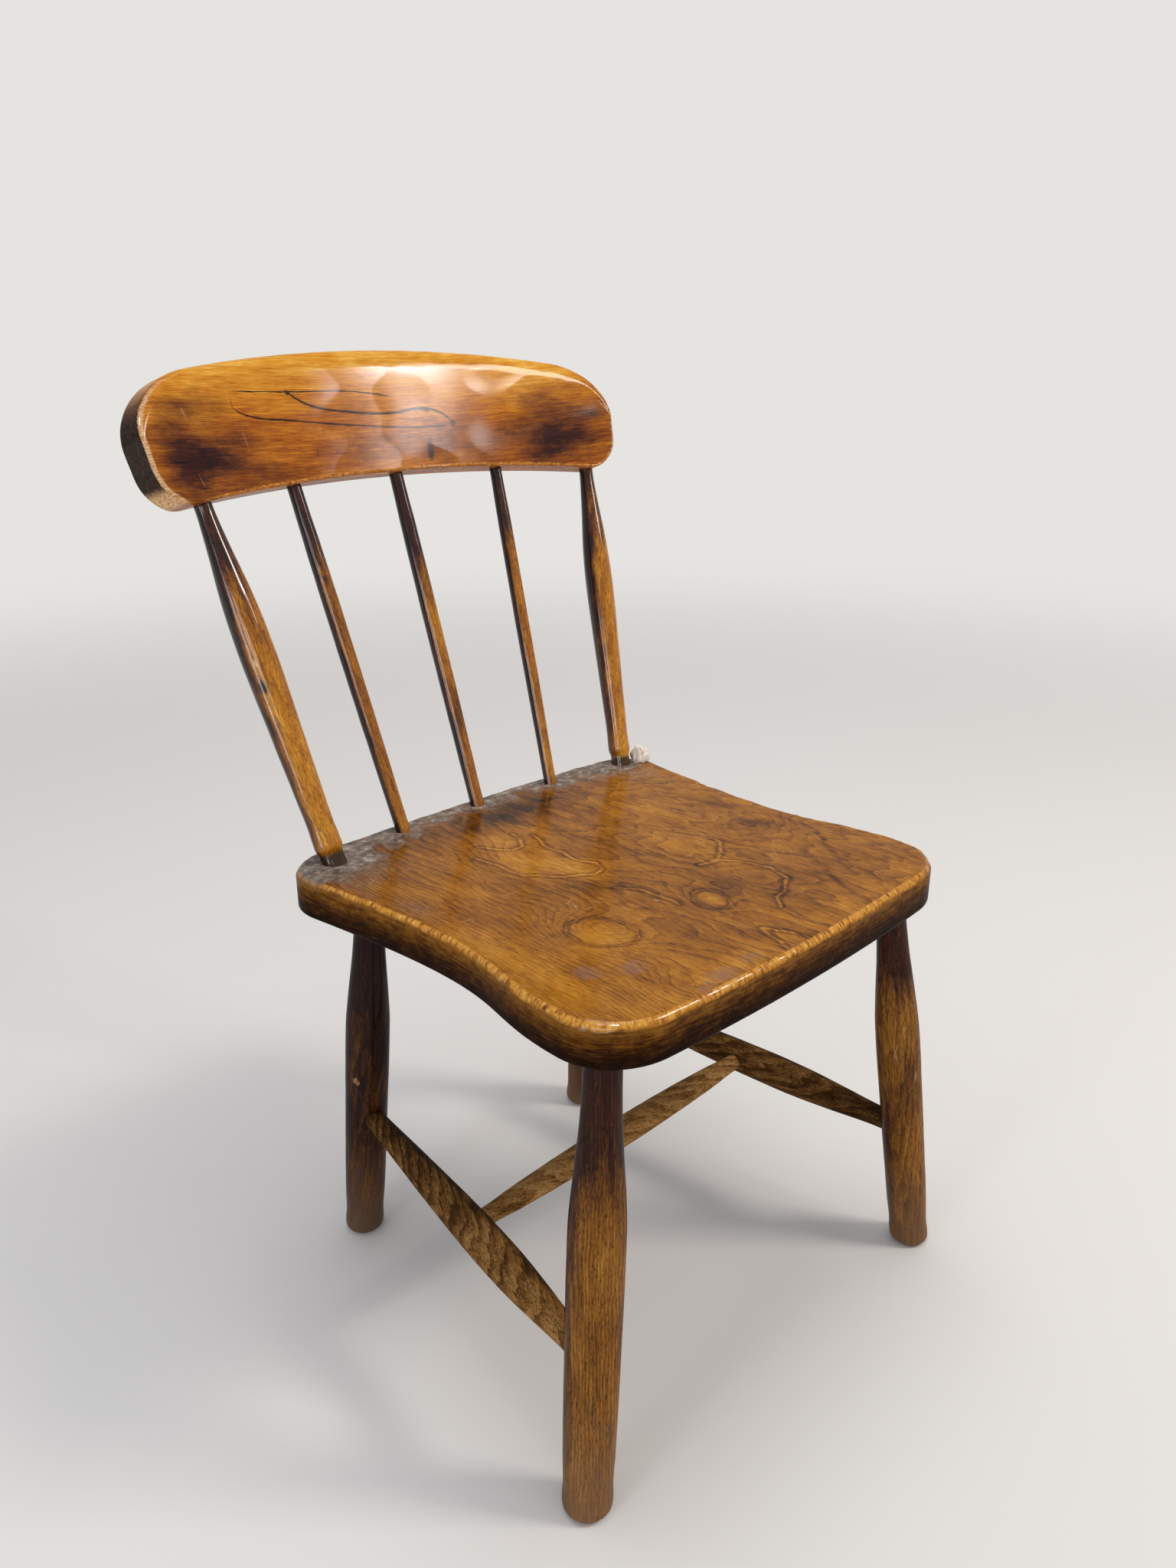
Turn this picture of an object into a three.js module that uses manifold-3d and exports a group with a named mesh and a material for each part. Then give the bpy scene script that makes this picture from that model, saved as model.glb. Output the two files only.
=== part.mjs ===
/**
 * Child's stick-back kitchen chair: a solid elm seat, four turned legs tied by an H of three
 * stretchers, two turned posts and three sticks that carry a bowed crest rail.
 *
 * Millimetres, +Z up. The sitter faces -Y, and -X is the near side. The floor is z = 0.
 * All parts are built about the middle of the seat, and the finished chair is then moved over
 * the floor so that its bounding box stands centred on the origin.
 */
import * as THREE from 'three';
import { mergeVertices } from 'three/addons/utils/BufferGeometryUtils.js';
import Module from 'manifold-3d';

const wasm = await Module();
wasm.setup();

// Clearances of the glued joints, and the spare length of every cutting tool.
const FIT = { radial: 0.3, depth: 0.3, overshoot: 8 };

// Share of a right angle's chord at which a cubic curve's handle follows a circle.
const ROUND_HANDLE = 0.5523;

const SEAT = {
  height: 330,
  thickness: 29,
  topRound: 5,
  bottomRound: 3.5,
  roundSteps: 4,
  curveSteps: 9,
};

// Half plan of the seat. y runs from front to back, and corner is the setback of each rounding.
const SEAT_FRONT = { y: -160, halfWidth: 172, bow: 4.5, corner: 44, sideAngle: 0, handle: 77 };
const SEAT_BACK = { y: 160, halfWidth: 178, bow: 4, corner: 40, sideAngle: 9, handle: 186 };

// Legs are placed by the middle of the foot on the floor and of the head at the seat's underside, as
// shares of the seat's whole width and depth at their own end.
const FRONT_LEGS = { end: SEAT_FRONT, foot: [0.506, 0.4485], head: [0.4215, 0.394] };
const BACK_LEGS = { end: SEAT_BACK, foot: [0.3455, 0.5], head: [0.3285, 0.4125] };
const LEG = { tenon: 21, floorSpare: 8, segments: 20 };
// Block that saws the feet off level with the floor.
const FLOOR = { side: 1000, depth: 100 };

// Radius along each turning, as [share of its length, radius], from the lower or rear end.
const LEG_PROFILE = [
  [0, 12.8], [0.009, 15.2], [0.05, 15.9], [0.2, 16.9], [0.38, 17.4], [0.57, 17.8], [0.65, 17.5],
  [0.74, 15.5], [0.83, 13.2], [0.9, 12.1], [0.97, 11.5], [1, 11.5],
];
const POST_PROFILE = [
  [0, 8.6], [0.03, 8.6], [0.036, 9.2], [0.1, 9.4], [0.3, 10.5], [0.46, 11.6], [0.58, 12.2],
  [0.68, 11.9], [0.77, 10.6], [0.86, 8.5], [0.94, 6.9], [0.98, 6.3], [1, 6.3],
];
const STICK_PROFILE = [
  [0, 5.8], [0.03, 5.8], [0.25, 6.3], [0.6, 6.6], [0.85, 6.2], [0.98, 5.6], [1, 5.6],
];
const SIDE_STRETCHER_PROFILE = [
  [0, 8], [0.07, 8], [0.14, 8.9], [0.3, 11], [0.46, 12.7], [0.6, 13.4], [0.72, 12.8],
  [0.84, 10.4], [0.93, 8.4], [1, 8.4],
];
const CROSS_STRETCHER_PROFILE = [
  [0, 7], [0.07, 7], [0.13, 8.2], [0.3, 10], [0.5, 11], [0.7, 10.2], [0.87, 8.2], [0.93, 7], [1, 7],
];

const SPINDLE = { seatTenon: 18, railTenon: 20, segments: 16 };
// Where each spindle stands, as shares of the seat's half width and half depth at the back, and
// where it enters the rail, as a share of the rail's half length.
const SPINDLES = [
  { name: 'post_left', across: -0.798, back: 0.847, along: -0.82, profile: POST_PROFILE, girth: 1.03 },
  { name: 'stick_left', across: -0.416, back: 0.925, along: -0.441, profile: STICK_PROFILE, girth: 0.97 },
  { name: 'stick_middle', across: -0.006, back: 0.944, along: 0, profile: STICK_PROFILE, girth: 0.98 },
  { name: 'stick_right', across: 0.41, back: 0.922, along: 0.451, profile: STICK_PROFILE, girth: 0.9 },
  { name: 'post_right', across: 0.837, back: 0.881, along: 0.878, profile: POST_PROFILE, girth: 0.96 },
];

// The hand-turned legs differ a little in girth, and the front right one stands further forward.
const LEGS = [
  { name: 'leg_front_left', side: -1, stance: FRONT_LEGS, footForward: 0, girth: 1 },
  { name: 'leg_front_right', side: 1, stance: FRONT_LEGS, footForward: 12, girth: 0.93 },
  { name: 'leg_back_left', side: -1, stance: BACK_LEGS, footForward: 0, girth: 0.94 },
  { name: 'leg_back_right', side: 1, stance: BACK_LEGS, footForward: 0, girth: 0.95 },
];

// Side stretchers meet the leg axes at shares of the seat's height above the floor.
const STRETCHER = { bite: 3, segments: 18, crossBite: 2, crossAhead: 8 };
const SIDE_STRETCHERS = [
  {
    name: 'stretcher_left',
    front: { leg: 'leg_front_left', height: 0.306 },
    back: { leg: 'leg_back_left', height: 0.339 },
  },
  {
    name: 'stretcher_right',
    front: { leg: 'leg_front_right', height: 0.312 },
    back: { leg: 'leg_back_right', height: 0.361 },
  },
];

// Crest rail, in its own upright frame: along the bow, back through the board, and up. endFlare is
// the share by which each millimetre of height lengthens it.
const RAIL = {
  middleY: 236.5,
  middleZ: 572,
  lean: 17.6,
  bowRadius: 920,
  halfLength: 208.5,
  endFlare: 0.0006,
  height: 89.5,
  thickness: 22,
  topArch: 27.5,
  topCorner: { run: 52, rise: 35 },
  bottomArch: 18,
  bottomCorner: { run: 27, rise: 29 },
  topArris: 5,
  bottomArris: 3,
  arrisSteps: 4,
  stations: 40,
};

const FINISH = {
  elm: { color: 0x6e3d14, roughness: 0.34, metalness: 0 },
  rail: { color: 0x9a5a1c, roughness: 0.32, metalness: 0 },
  beech: { color: 0x6a4220, roughness: 0.38, metalness: 0 },
  stretcher: { color: 0x5d3f26, roughness: 0.6, metalness: 0 },
};

function wood(kind) {
  return new THREE.MeshStandardMaterial(FINISH[kind]);
}

// Solids to and from the boolean library.

const WELD = 1e-4;

function toSolid(geometry) {
  const bare = geometry.clone();
  bare.deleteAttribute('normal');
  bare.deleteAttribute('uv');
  const merged = mergeVertices(bare, WELD);
  const mesh = new wasm.Mesh({
    numProp: 3,
    vertProperties: new Float32Array(merged.attributes.position.array),
    triVerts: new Uint32Array(merged.index.array),
  });
  return new wasm.Manifold(mesh);
}

function toGeometry(solid) {
  const mesh = solid.getMesh();
  const geometry = new THREE.BufferGeometry();
  geometry.setAttribute('position', new THREE.BufferAttribute(mesh.vertProperties, 3));
  geometry.setIndex(new THREE.BufferAttribute(mesh.triVerts, 1));
  return geometry;
}

/** Cuts every cutter out of a mesh. Mesh and cutters are all placed in the chair's frame. */
function cut(mesh, cutters) {
  mesh.updateMatrix();
  const intoMesh = mesh.matrix.clone().invert();
  let solid = toSolid(mesh.geometry);
  for (const cutter of cutters) {
    cutter.updateMatrix();
    const tool = cutter.geometry.clone().applyMatrix4(cutter.matrix).applyMatrix4(intoMesh);
    solid = solid.subtract(toSolid(tool));
  }
  mesh.geometry = toGeometry(solid);
}

// Turned pieces: legs, spindles and stretchers.

/** Smooth lathe profile through [share, radius] stations, with a plain stub at each end. */
function turningProfile(stations, girth, length, startStub, endStub) {
  const along = stations.map(([share]) => share);
  const radius = stations.map(([, value]) => value);
  const spline = new THREE.CubicInterpolant(along, radius, 1);
  const halfway = along.slice(1).map((share, i) => (share + along[i]) / 2);
  const points = [new THREE.Vector2(0, -startStub), new THREE.Vector2(radius[0] * girth, -startStub)];
  for (const share of [...along, ...halfway].sort((a, b) => a - b)) {
    points.push(new THREE.Vector2(spline.evaluate(share)[0] * girth, share * length));
  }
  points.push(new THREE.Vector2(radius.at(-1) * girth, length + endStub));
  points.push(new THREE.Vector2(0, length + endStub));
  return points;
}

/** Sets a mesh modelled along +Z from its origin so that it runs from one point to another. */
function aim(mesh, from, to) {
  const direction = to.clone().sub(from).normalize();
  mesh.position.copy(from);
  mesh.quaternion.setFromUnitVectors(new THREE.Vector3(0, 0, 1), direction);
  return mesh;
}

/** A turned piece between two points of its axis. ends holds its two end radii and stub lengths. */
function turned({ name, from, to, profile, girth, startStub, endStub, segments, material }) {
  const length = from.distanceTo(to);
  const points = turningProfile(profile, girth, length, startStub, endStub);
  const geometry = new THREE.LatheGeometry(points, segments).rotateX(Math.PI / 2);
  const mesh = aim(new THREE.Mesh(geometry, material), from, to);
  mesh.name = name;
  mesh.userData = {
    from,
    to,
    segments,
    start: { radius: profile[0][1] * girth, stub: startStub },
    end: { radius: profile.at(-1)[1] * girth, stub: endStub },
  };
  return mesh;
}

/** The hole that one end of a turned piece is glued into, bored from reach outside its mouth. */
function socket(piece, which, reach) {
  const { from, to, segments } = piece.userData;
  const { radius, stub } = piece.userData[which];
  const mouth = which === 'end' ? to : from;
  const inward = mouth.clone().sub(which === 'end' ? from : to).normalize();
  const depth = stub + FIT.depth;
  const bore = radius + FIT.radial;
  const geometry = new THREE.CylinderGeometry(bore, bore, depth + reach, segments);
  geometry.rotateX(Math.PI / 2).translate(0, 0, (depth - reach) / 2);
  return aim(new THREE.Mesh(geometry), mouth, mouth.clone().add(inward));
}

function buildLegs() {
  const underside = SEAT.height - SEAT.thickness;
  const ground = new THREE.BoxGeometry(FLOOR.side, FLOOR.side, FLOOR.depth);
  const floor = new THREE.Mesh(ground.translate(0, 0, -FLOOR.depth / 2));
  return LEGS.map(({ name, side, stance: { end, foot, head }, footForward, girth }) => {
    const width = side * 2 * end.halfWidth;
    const depth = 2 * end.y;
    const leg = turned({
      name,
      from: new THREE.Vector3(foot[0] * width, foot[1] * depth - footForward, 0),
      to: new THREE.Vector3(head[0] * width, head[1] * depth, underside),
      profile: LEG_PROFILE,
      girth,
      startStub: LEG.floorSpare,
      endStub: LEG.tenon,
      segments: LEG.segments,
      material: wood('beech'),
    });
    cut(leg, [floor]);
    return leg;
  });
}

/** The point of a turned piece's axis at a height above the floor. */
function axisAtHeight({ userData: { from, to } }, height) {
  return from.clone().lerp(to, (height - from.z) / (to.z - from.z));
}

function buildStretchers(legs) {
  const named = Object.fromEntries(legs.map((leg) => [leg.name, leg]));
  const common = { girth: 1, segments: STRETCHER.segments, material: wood('stretcher') };
  const sides = SIDE_STRETCHERS.map(({ name, front, back }) => {
    const stretcher = turned({
      ...common,
      name,
      from: axisAtHeight(named[back.leg], back.height * SEAT.height),
      to: axisAtHeight(named[front.leg], front.height * SEAT.height),
      profile: SIDE_STRETCHER_PROFILE,
      startStub: STRETCHER.bite,
      endStub: STRETCHER.bite,
    });
    cut(named[back.leg], [socket(stretcher, 'start', socketReach())]);
    cut(named[front.leg], [socket(stretcher, 'end', socketReach())]);
    return stretcher;
  });
  const [left, right] = sides.map(({ userData: { from, to } }) => {
    const ahead = to.clone().sub(from).setLength(STRETCHER.crossAhead);
    return from.clone().add(to).multiplyScalar(0.5).add(ahead);
  });
  const cross = turned({
    ...common,
    name: 'stretcher_cross',
    from: left,
    to: right,
    profile: CROSS_STRETCHER_PROFILE,
    startStub: STRETCHER.crossBite,
    endStub: STRETCHER.crossBite,
  });
  cut(sides[0], [socket(cross, 'start', socketReach())]);
  cut(sides[1], [socket(cross, 'end', socketReach())]);
  return [...sides, cross];
}

/** Stretcher sockets start on the carrier's axis, so they are bored out through its full radius. */
function socketReach() {
  const stations = [...LEG_PROFILE, ...SIDE_STRETCHER_PROFILE];
  const widest = Math.max(...stations.map(([, radius]) => radius));
  return widest + FIT.overshoot;
}

// The seat: a plank with a drawn-in waist and rounded arrises.

/** Unit vector at an angle from +Y, in degrees, towards -X. */
function heading(degrees) {
  return new THREE.Vector2(0, 1).rotateAround(new THREE.Vector2(), THREE.MathUtils.degToRad(degrees));
}

/** Cubic curve between two points, given the way it runs at each and the length of its handle. */
function cubic(start, startRun, startHandle, end, endRun, endHandle) {
  const leaving = start.clone().addScaledVector(startRun, startHandle);
  const arriving = end.clone().addScaledVector(endRun, -endHandle);
  return new THREE.CubicBezierCurve(start, leaving, arriving, end);
}

/** Half of the seat's plan, from the middle of the front edge round to the middle of the back. */
function halfSeatCurves() {
  const front = SEAT_FRONT;
  const back = SEAT_BACK;
  const frontStart = new THREE.Vector2(0, front.y - front.bow);
  const frontEnd = new THREE.Vector2(front.halfWidth - front.corner, front.y);
  const frontRun = new THREE.Vector2(frontEnd.x / 2, front.bow).normalize();
  const frontSide = heading(front.sideAngle);
  const sideStart = new THREE.Vector2(front.halfWidth, front.y + front.corner);
  const backSide = heading(-back.sideAngle);
  const sideEnd = new THREE.Vector2(back.halfWidth, back.y).addScaledVector(backSide, -back.corner);
  const backStart = new THREE.Vector2(back.halfWidth - back.corner, back.y);
  const backRun = new THREE.Vector2(-backStart.x / 2, back.bow).normalize();
  const backEnd = new THREE.Vector2(0, back.y + back.bow);
  const across = new THREE.Vector2(1, 0);
  const frontRound = front.corner * ROUND_HANDLE;
  const backRound = back.corner * ROUND_HANDLE;
  return [
    cubic(frontStart, across, frontEnd.x / 3, frontEnd, frontRun, frontEnd.x / 3),
    cubic(frontEnd, frontRun, frontRound, sideStart, frontSide, frontRound),
    cubic(sideStart, frontSide, front.handle, sideEnd, backSide, back.handle),
    cubic(sideEnd, backSide, backRound, backStart, backRun, backRound),
    cubic(backStart, backRun, backStart.x / 3, backEnd, across.clone().negate(), backStart.x / 3),
  ];
}

/** The seat's whole plan, anticlockwise from the middle of its front edge. */
function seatOutline() {
  const half = halfSeatCurves().flatMap((curve) => curve.getPoints(SEAT.curveSteps).slice(0, -1));
  const backMiddle = new THREE.Vector2(0, SEAT_BACK.y + SEAT_BACK.bow);
  const mirrored = half.slice(1).reverse().map(({ x, y }) => new THREE.Vector2(-x, y));
  return [...half, backMiddle, ...mirrored];
}

/** Moves a closed anticlockwise outline inward along its own normals. */
function drawnIn(outline, inset) {
  return outline.map((point, i) => {
    const before = outline.at(i - 1);
    const after = outline[(i + 1) % outline.length];
    const run = after.clone().sub(before).normalize();
    return new THREE.Vector2(point.x - run.y * inset, point.y + run.x * inset);
  });
}

/** Levels of a slab with rounded arrises, as { z, inset }, from its underside up. */
function slabLevels(thickness, bottomRound, topRound, steps) {
  const levels = [];
  for (let i = 0; i <= steps; i += 1) {
    const angle = (i / steps) * (Math.PI / 2);
    levels.push({
      z: bottomRound * (1 - Math.cos(angle)),
      inset: bottomRound * (1 - Math.sin(angle)),
    });
  }
  for (let i = 0; i <= steps; i += 1) {
    const angle = (i / steps) * (Math.PI / 2);
    levels.push({
      z: thickness - topRound * (1 - Math.sin(angle)),
      inset: topRound * (1 - Math.cos(angle)),
    });
  }
  return levels;
}

/** Closed solid through rings of equal count, with the first and last ring capped. */
function loft(rings, startCap, endCap) {
  const count = rings[0].length;
  const positions = rings.flat().flatMap(({ x, y, z }) => [x, y, z]);
  const index = [];
  for (let r = 0; r + 1 < rings.length; r += 1) {
    for (let i = 0; i < count; i += 1) {
      const a = r * count + i;
      const b = r * count + ((i + 1) % count);
      index.push(a, b, b + count, a, b + count, a + count);
    }
  }
  const last = (rings.length - 1) * count;
  for (const [a, b, c] of startCap) {
    index.push(c, b, a);
  }
  for (const [a, b, c] of endCap) {
    index.push(last + a, last + b, last + c);
  }
  const geometry = new THREE.BufferGeometry();
  geometry.setAttribute('position', new THREE.Float32BufferAttribute(positions, 3));
  geometry.setIndex(index);
  return geometry;
}

function buildSeat(legs, spindles) {
  const outline = seatOutline();
  const levels = slabLevels(SEAT.thickness, SEAT.bottomRound, SEAT.topRound, SEAT.roundSteps);
  const rings = levels.map(({ z, inset }) => (
    drawnIn(outline, inset).map(({ x, y }) => new THREE.Vector3(x, y, z))
  ));
  const [startCap, endCap] = [rings[0], rings.at(-1)].map((ring) => (
    THREE.ShapeUtils.triangulateShape(ring.map(({ x, y }) => new THREE.Vector2(x, y)), [])
  ));
  const seat = new THREE.Mesh(loft(rings, startCap, endCap), wood('elm'));
  seat.name = 'seat';
  seat.position.z = SEAT.height - SEAT.thickness;
  cut(seat, [
    ...legs.map((leg) => socket(leg, 'end', FIT.overshoot)),
    ...spindles.map((spindle) => socket(spindle, 'start', FIT.overshoot)),
  ]);
  return seat;
}

// The crest rail: one section lofted along a bow and laid back.

/** How far an elliptical corner has come in from an edge at a station along the rail. */
function cornerDepth(along, { run, rise }) {
  const into = Math.max(0, Math.abs(along) - (RAIL.halfLength - run)) / run;
  return rise * (1 - Math.sqrt(Math.max(0, 1 - into * into)));
}

function railEdges(along) {
  const share = (along / RAIL.halfLength) ** 2;
  return {
    bottom: -RAIL.bottomArch * share + cornerDepth(along, RAIL.bottomCorner),
    top: RAIL.height - RAIL.topArch * share - cornerDepth(along, RAIL.topCorner),
  };
}

/** A point of the rail, in its upright frame: along the bow, back through the board, and up. */
function bowed(along, back, up) {
  const angle = (along * (1 + RAIL.endFlare * up)) / RAIL.bowRadius;
  const radius = RAIL.bowRadius + back;
  return new THREE.Vector3(radius * Math.sin(angle), radius * Math.cos(angle) - RAIL.bowRadius, up);
}

/** Closed section of the board at a station: a rectangle with rounded arrises. */
function railSection(along) {
  const { bottom, top } = railEdges(along);
  const half = RAIL.thickness / 2;
  const largest = (top - bottom) / 2;
  const topRound = Math.min(RAIL.topArris, largest);
  const bottomRound = Math.min(RAIL.bottomArris, largest);
  const corners = [
    { back: half - bottomRound, up: bottom + bottomRound, radius: bottomRound, start: -Math.PI / 2 },
    { back: half - topRound, up: top - topRound, radius: topRound, start: 0 },
    { back: topRound - half, up: top - topRound, radius: topRound, start: Math.PI / 2 },
    { back: bottomRound - half, up: bottom + bottomRound, radius: bottomRound, start: Math.PI },
  ];
  return corners.flatMap(({ back, up, radius, start }) => (
    Array.from({ length: RAIL.arrisSteps + 1 }, (_, i) => {
      const angle = start + (i / RAIL.arrisSteps) * (Math.PI / 2);
      return bowed(along, back + radius * Math.cos(angle), up + radius * Math.sin(angle));
    })
  ));
}

function placeRail(object) {
  object.position.set(0, RAIL.middleY, RAIL.middleZ);
  object.rotation.x = -THREE.MathUtils.degToRad(RAIL.lean);
  object.updateMatrix();
  return object;
}

function buildRail(spindles) {
  // Stations crowd towards the ends, where the corners turn.
  const rings = Array.from({ length: RAIL.stations + 1 }, (_, i) => (
    railSection(RAIL.halfLength * Math.sin((i / RAIL.stations - 0.5) * Math.PI))
  ));
  const fan = rings[0].slice(2).map((_, i) => [0, i + 1, i + 2]);
  const rail = placeRail(new THREE.Mesh(loft(rings, fan, fan), wood('rail')));
  rail.name = 'crest_rail';
  cut(rail, spindles.map((spindle) => socket(spindle, 'end', FIT.overshoot)));
  return rail;
}

/** Middle of the rail's underside at a station of its bow, in the chair's frame. */
function railSeatPoint(along) {
  const frame = placeRail(new THREE.Object3D());
  return bowed(along, 0, railEdges(along).bottom).applyMatrix4(frame.matrix);
}

function buildSpindles() {
  return SPINDLES.map(({ name, across, back, along, profile, girth }) => turned({
    name,
    from: new THREE.Vector3(across * SEAT_BACK.halfWidth, back * SEAT_BACK.y, SEAT.height),
    to: railSeatPoint(along * RAIL.halfLength),
    profile,
    girth,
    startStub: SPINDLE.seatTenon,
    endStub: SPINDLE.railTenon,
    segments: SPINDLE.segments,
    material: wood('beech'),
  }));
}

function buildChair() {
  const legs = buildLegs();
  const stretchers = buildStretchers(legs);
  const spindles = buildSpindles();
  const chair = new THREE.Group();
  chair.add(buildSeat(legs, spindles), buildRail(spindles), ...legs, ...stretchers, ...spindles);
  const middle = new THREE.Box3().setFromObject(chair, true).getCenter(new THREE.Vector3());
  chair.position.set(-middle.x, -middle.y, 0);
  return chair;
}

export default buildChair();
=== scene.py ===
"""Child's stick-back kitchen chair with worn varnish: elm seat, beech turnings and a bowed crest rail.

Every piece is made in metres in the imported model's frame. Shapes are written in millimetres about the
middle of the seat, as the chair was measured, and are moved to the frame when a mesh is made.
"""

from functools import partial

import bpy
import numpy as np
from mathutils import Matrix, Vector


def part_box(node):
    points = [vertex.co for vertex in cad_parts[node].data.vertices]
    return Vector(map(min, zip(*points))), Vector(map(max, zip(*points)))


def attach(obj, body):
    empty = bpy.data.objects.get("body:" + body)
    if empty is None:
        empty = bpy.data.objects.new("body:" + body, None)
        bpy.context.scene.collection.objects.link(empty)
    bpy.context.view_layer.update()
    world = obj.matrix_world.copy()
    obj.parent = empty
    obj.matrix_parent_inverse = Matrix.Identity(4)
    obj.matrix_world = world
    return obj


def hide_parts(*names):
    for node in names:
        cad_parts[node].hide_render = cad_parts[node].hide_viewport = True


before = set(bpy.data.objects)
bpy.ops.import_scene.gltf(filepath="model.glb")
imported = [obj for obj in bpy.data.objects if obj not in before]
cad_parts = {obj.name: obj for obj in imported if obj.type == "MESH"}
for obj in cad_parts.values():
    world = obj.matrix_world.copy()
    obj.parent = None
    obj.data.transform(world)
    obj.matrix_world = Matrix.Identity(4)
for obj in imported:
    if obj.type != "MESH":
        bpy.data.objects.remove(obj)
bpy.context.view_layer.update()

MM = 0.001

# Shapes of the seat and of the crest rail, in millimetres, as the solids have them.
SEAT_TOP = 330.0
SEAT_THICKNESS = 29.0
SEAT_ARRIS = 5.0
SEAT_UNDER_ARRIS = 3.5
SEAT_FRONT = {"y": -160.0, "half": 172.0, "bow": 4.5, "corner": 44.0, "angle": 0.0, "handle": 77.0}
SEAT_BACK = {"y": 160.0, "half": 178.0, "bow": 4.0, "corner": 40.0, "angle": 9.0, "handle": 186.0}
# Handle of a cubic curve that draws a quarter circle, as a share of its radius.
ROUND_HANDLE = 0.5523

RAIL = {
    "y": 236.5, "z": 572.0, "lean": 17.6, "radius": 920.0, "half": 208.5, "flare": 0.0006,
    "height": 89.5, "thickness": 22.0, "arris": 4.0, "top_arch": 27.5, "bottom_arch": 18.0,
    "top_corner": (52.0, 35.0), "bottom_corner": (27.0, 29.0),
}

# Feet of the posts and sticks on the seat, from left to right.
SPINDLE_FEET = ((-142, 135.5), (-74, 148), (-1, 151), (73, 147.5), (149, 141))

# How turned solids are read, in metres: step of the vertices' places along the axis, the depth of
# an end's disc, and the least number of vertices on a ring. Rows of the finer mesh are ROW_STEP
# apart, and WORN_OFF is rubbed off all round, so that the mesh stays inside the solid.
READ_STEP, DISC_DEPTH, RING_VERTICES = 1e-4, 4e-4, 10
ROW_STEP, WORN_OFF = 1.25 * MM, 0.32 * MM

# Middle of the seat in the frame. The seat reaches a little further forward than back.
seat_low, seat_high = (np.array(corner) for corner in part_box("seat"))
ORIGIN = (seat_low + seat_high) / 2
ORIGIN[1] += (SEAT_FRONT["bow"] - SEAT_BACK["bow"]) / 2 * MM
ORIGIN[2] = 0.0


def smooth_step(low, high, value):
    """Share from 0 at low to 1 at high, eased at both ends: 3 s^2 - 2 s^3."""
    share = np.clip((value - low) / (high - low), 0, 1)
    return share * share * (3 - 2 * share)


def drift(points, size, seed):
    """Soft wandering field from about -1 to 1: the mean of plane waves whose lengths are near size.

    points is (..., n) and size is a number or one length per axis.
    """
    waves = 14
    chance = np.random.default_rng(seed)
    way = chance.normal(size=(waves, points.shape[-1]))
    way /= np.linalg.norm(way, axis=1, keepdims=True)
    way *= chance.uniform(0.6, 1.6, (waves, 1)) * 2 * np.pi / np.asarray(size, float)
    start = chance.uniform(0, 2 * np.pi, waves)
    return np.sin(points @ way.T + start).mean(axis=-1) * np.sqrt(waves) * 0.8


def hill(x, y, middle, reach, turn=0.0):
    """Bell of height 1 over an ellipse: exp(-(a/ra)^2 - (b/rb)^2), with turn in degrees."""
    angle = np.radians(turn)
    a = (x - middle[0]) * np.cos(angle) + (y - middle[1]) * np.sin(angle)
    b = (y - middle[1]) * np.cos(angle) - (x - middle[0]) * np.sin(angle)
    return np.exp(-(a / reach[0]) ** 2 - (b / reach[1]) ** 2)


def hills(x, y, *bells):
    """Sum of bells, each (height, middle, half lengths) and its turn where it has one."""
    return sum(height * hill(x, y, *bell) for height, *bell in bells)


def distance(x, y, line):
    """Millimetres from each place (x, y) to the nearest point of a line through the given corners."""
    away = np.full(np.shape(x), 1e3)
    for start, end in zip(line[:-1], line[1:]):
        run = np.subtract(end, start)
        share = np.clip(((x - start[0]) * run[0] + (y - start[1]) * run[1]) / (run @ run), 0, 1)
        away = np.minimum(away, np.hypot(x - start[0] - share * run[0], y - start[1] - share * run[1]))
    return away


def skin(name, rings, fields, material, node=None):
    """Closed mesh through rings of points, each ring closed on itself, with a pole at each end.

    rings is (rows, columns, 3) in metres. fields are arrays (rows, columns) or (rows, columns, 3),
    kept as point attributes. A pole is the middle of the row beside it, in place and in every field.
    A piece that stands for no CAD node is given none.
    """
    rows, columns = rings.shape[:2]
    here = np.arange(columns)
    beside = (here + 1) % columns
    row = np.arange(rows - 1)[:, None] * columns
    quads = np.stack([row + here, row + beside, row + columns + beside, row + columns + here], -1)
    first, last = rows * columns, rows * columns + 1
    last_row = (rows - 1) * columns
    fans = [np.stack([beside, here, np.full(columns, first)], -1),
            np.stack([last_row + here, last_row + beside, np.full(columns, last)], -1)]
    faces = quads.reshape(-1, 4).tolist() + fans[0].tolist() + fans[1].tolist()
    points = np.vstack([rings.reshape(-1, 3), rings[0].mean(0), rings[-1].mean(0)])
    mesh = bpy.data.meshes.new(name)
    mesh.from_pydata(points, [], faces)
    for field, values in fields.items():
        flat = values.reshape(rows * columns, -1)
        flat = np.vstack([flat, values[0].mean(0), values[-1].mean(0)])
        kind, key = ("FLOAT", "value") if flat.shape[1] == 1 else ("FLOAT_VECTOR", "vector")
        attribute = mesh.attributes.new(field, kind, "POINT")
        attribute.data.foreach_set(key, flat.astype(np.float32).ravel())
    mesh.shade_smooth()
    mesh.validate()
    mesh.materials.append(material)
    piece = bpy.data.objects.new(name, mesh)
    bpy.context.scene.collection.objects.link(piece)
    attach(piece, "root")
    if node:
        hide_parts(node)


def cubic(start, start_run, start_handle, end, end_run, end_handle):
    """Cubic curve by its ends and handles: (1-t)^3 a + 3t(1-t)^2 b + 3t^2(1-t) c + t^3 d."""
    t = np.linspace(0, 1, 60, endpoint=False)[:, None]
    a, d = np.array(start), np.array(end)
    b, c = a + np.array(start_run) * start_handle, d - np.array(end_run) * end_handle
    return (1 - t) ** 3 * a + 3 * t * (1 - t) ** 2 * b + 3 * t * t * (1 - t) * c + t ** 3 * d


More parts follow.
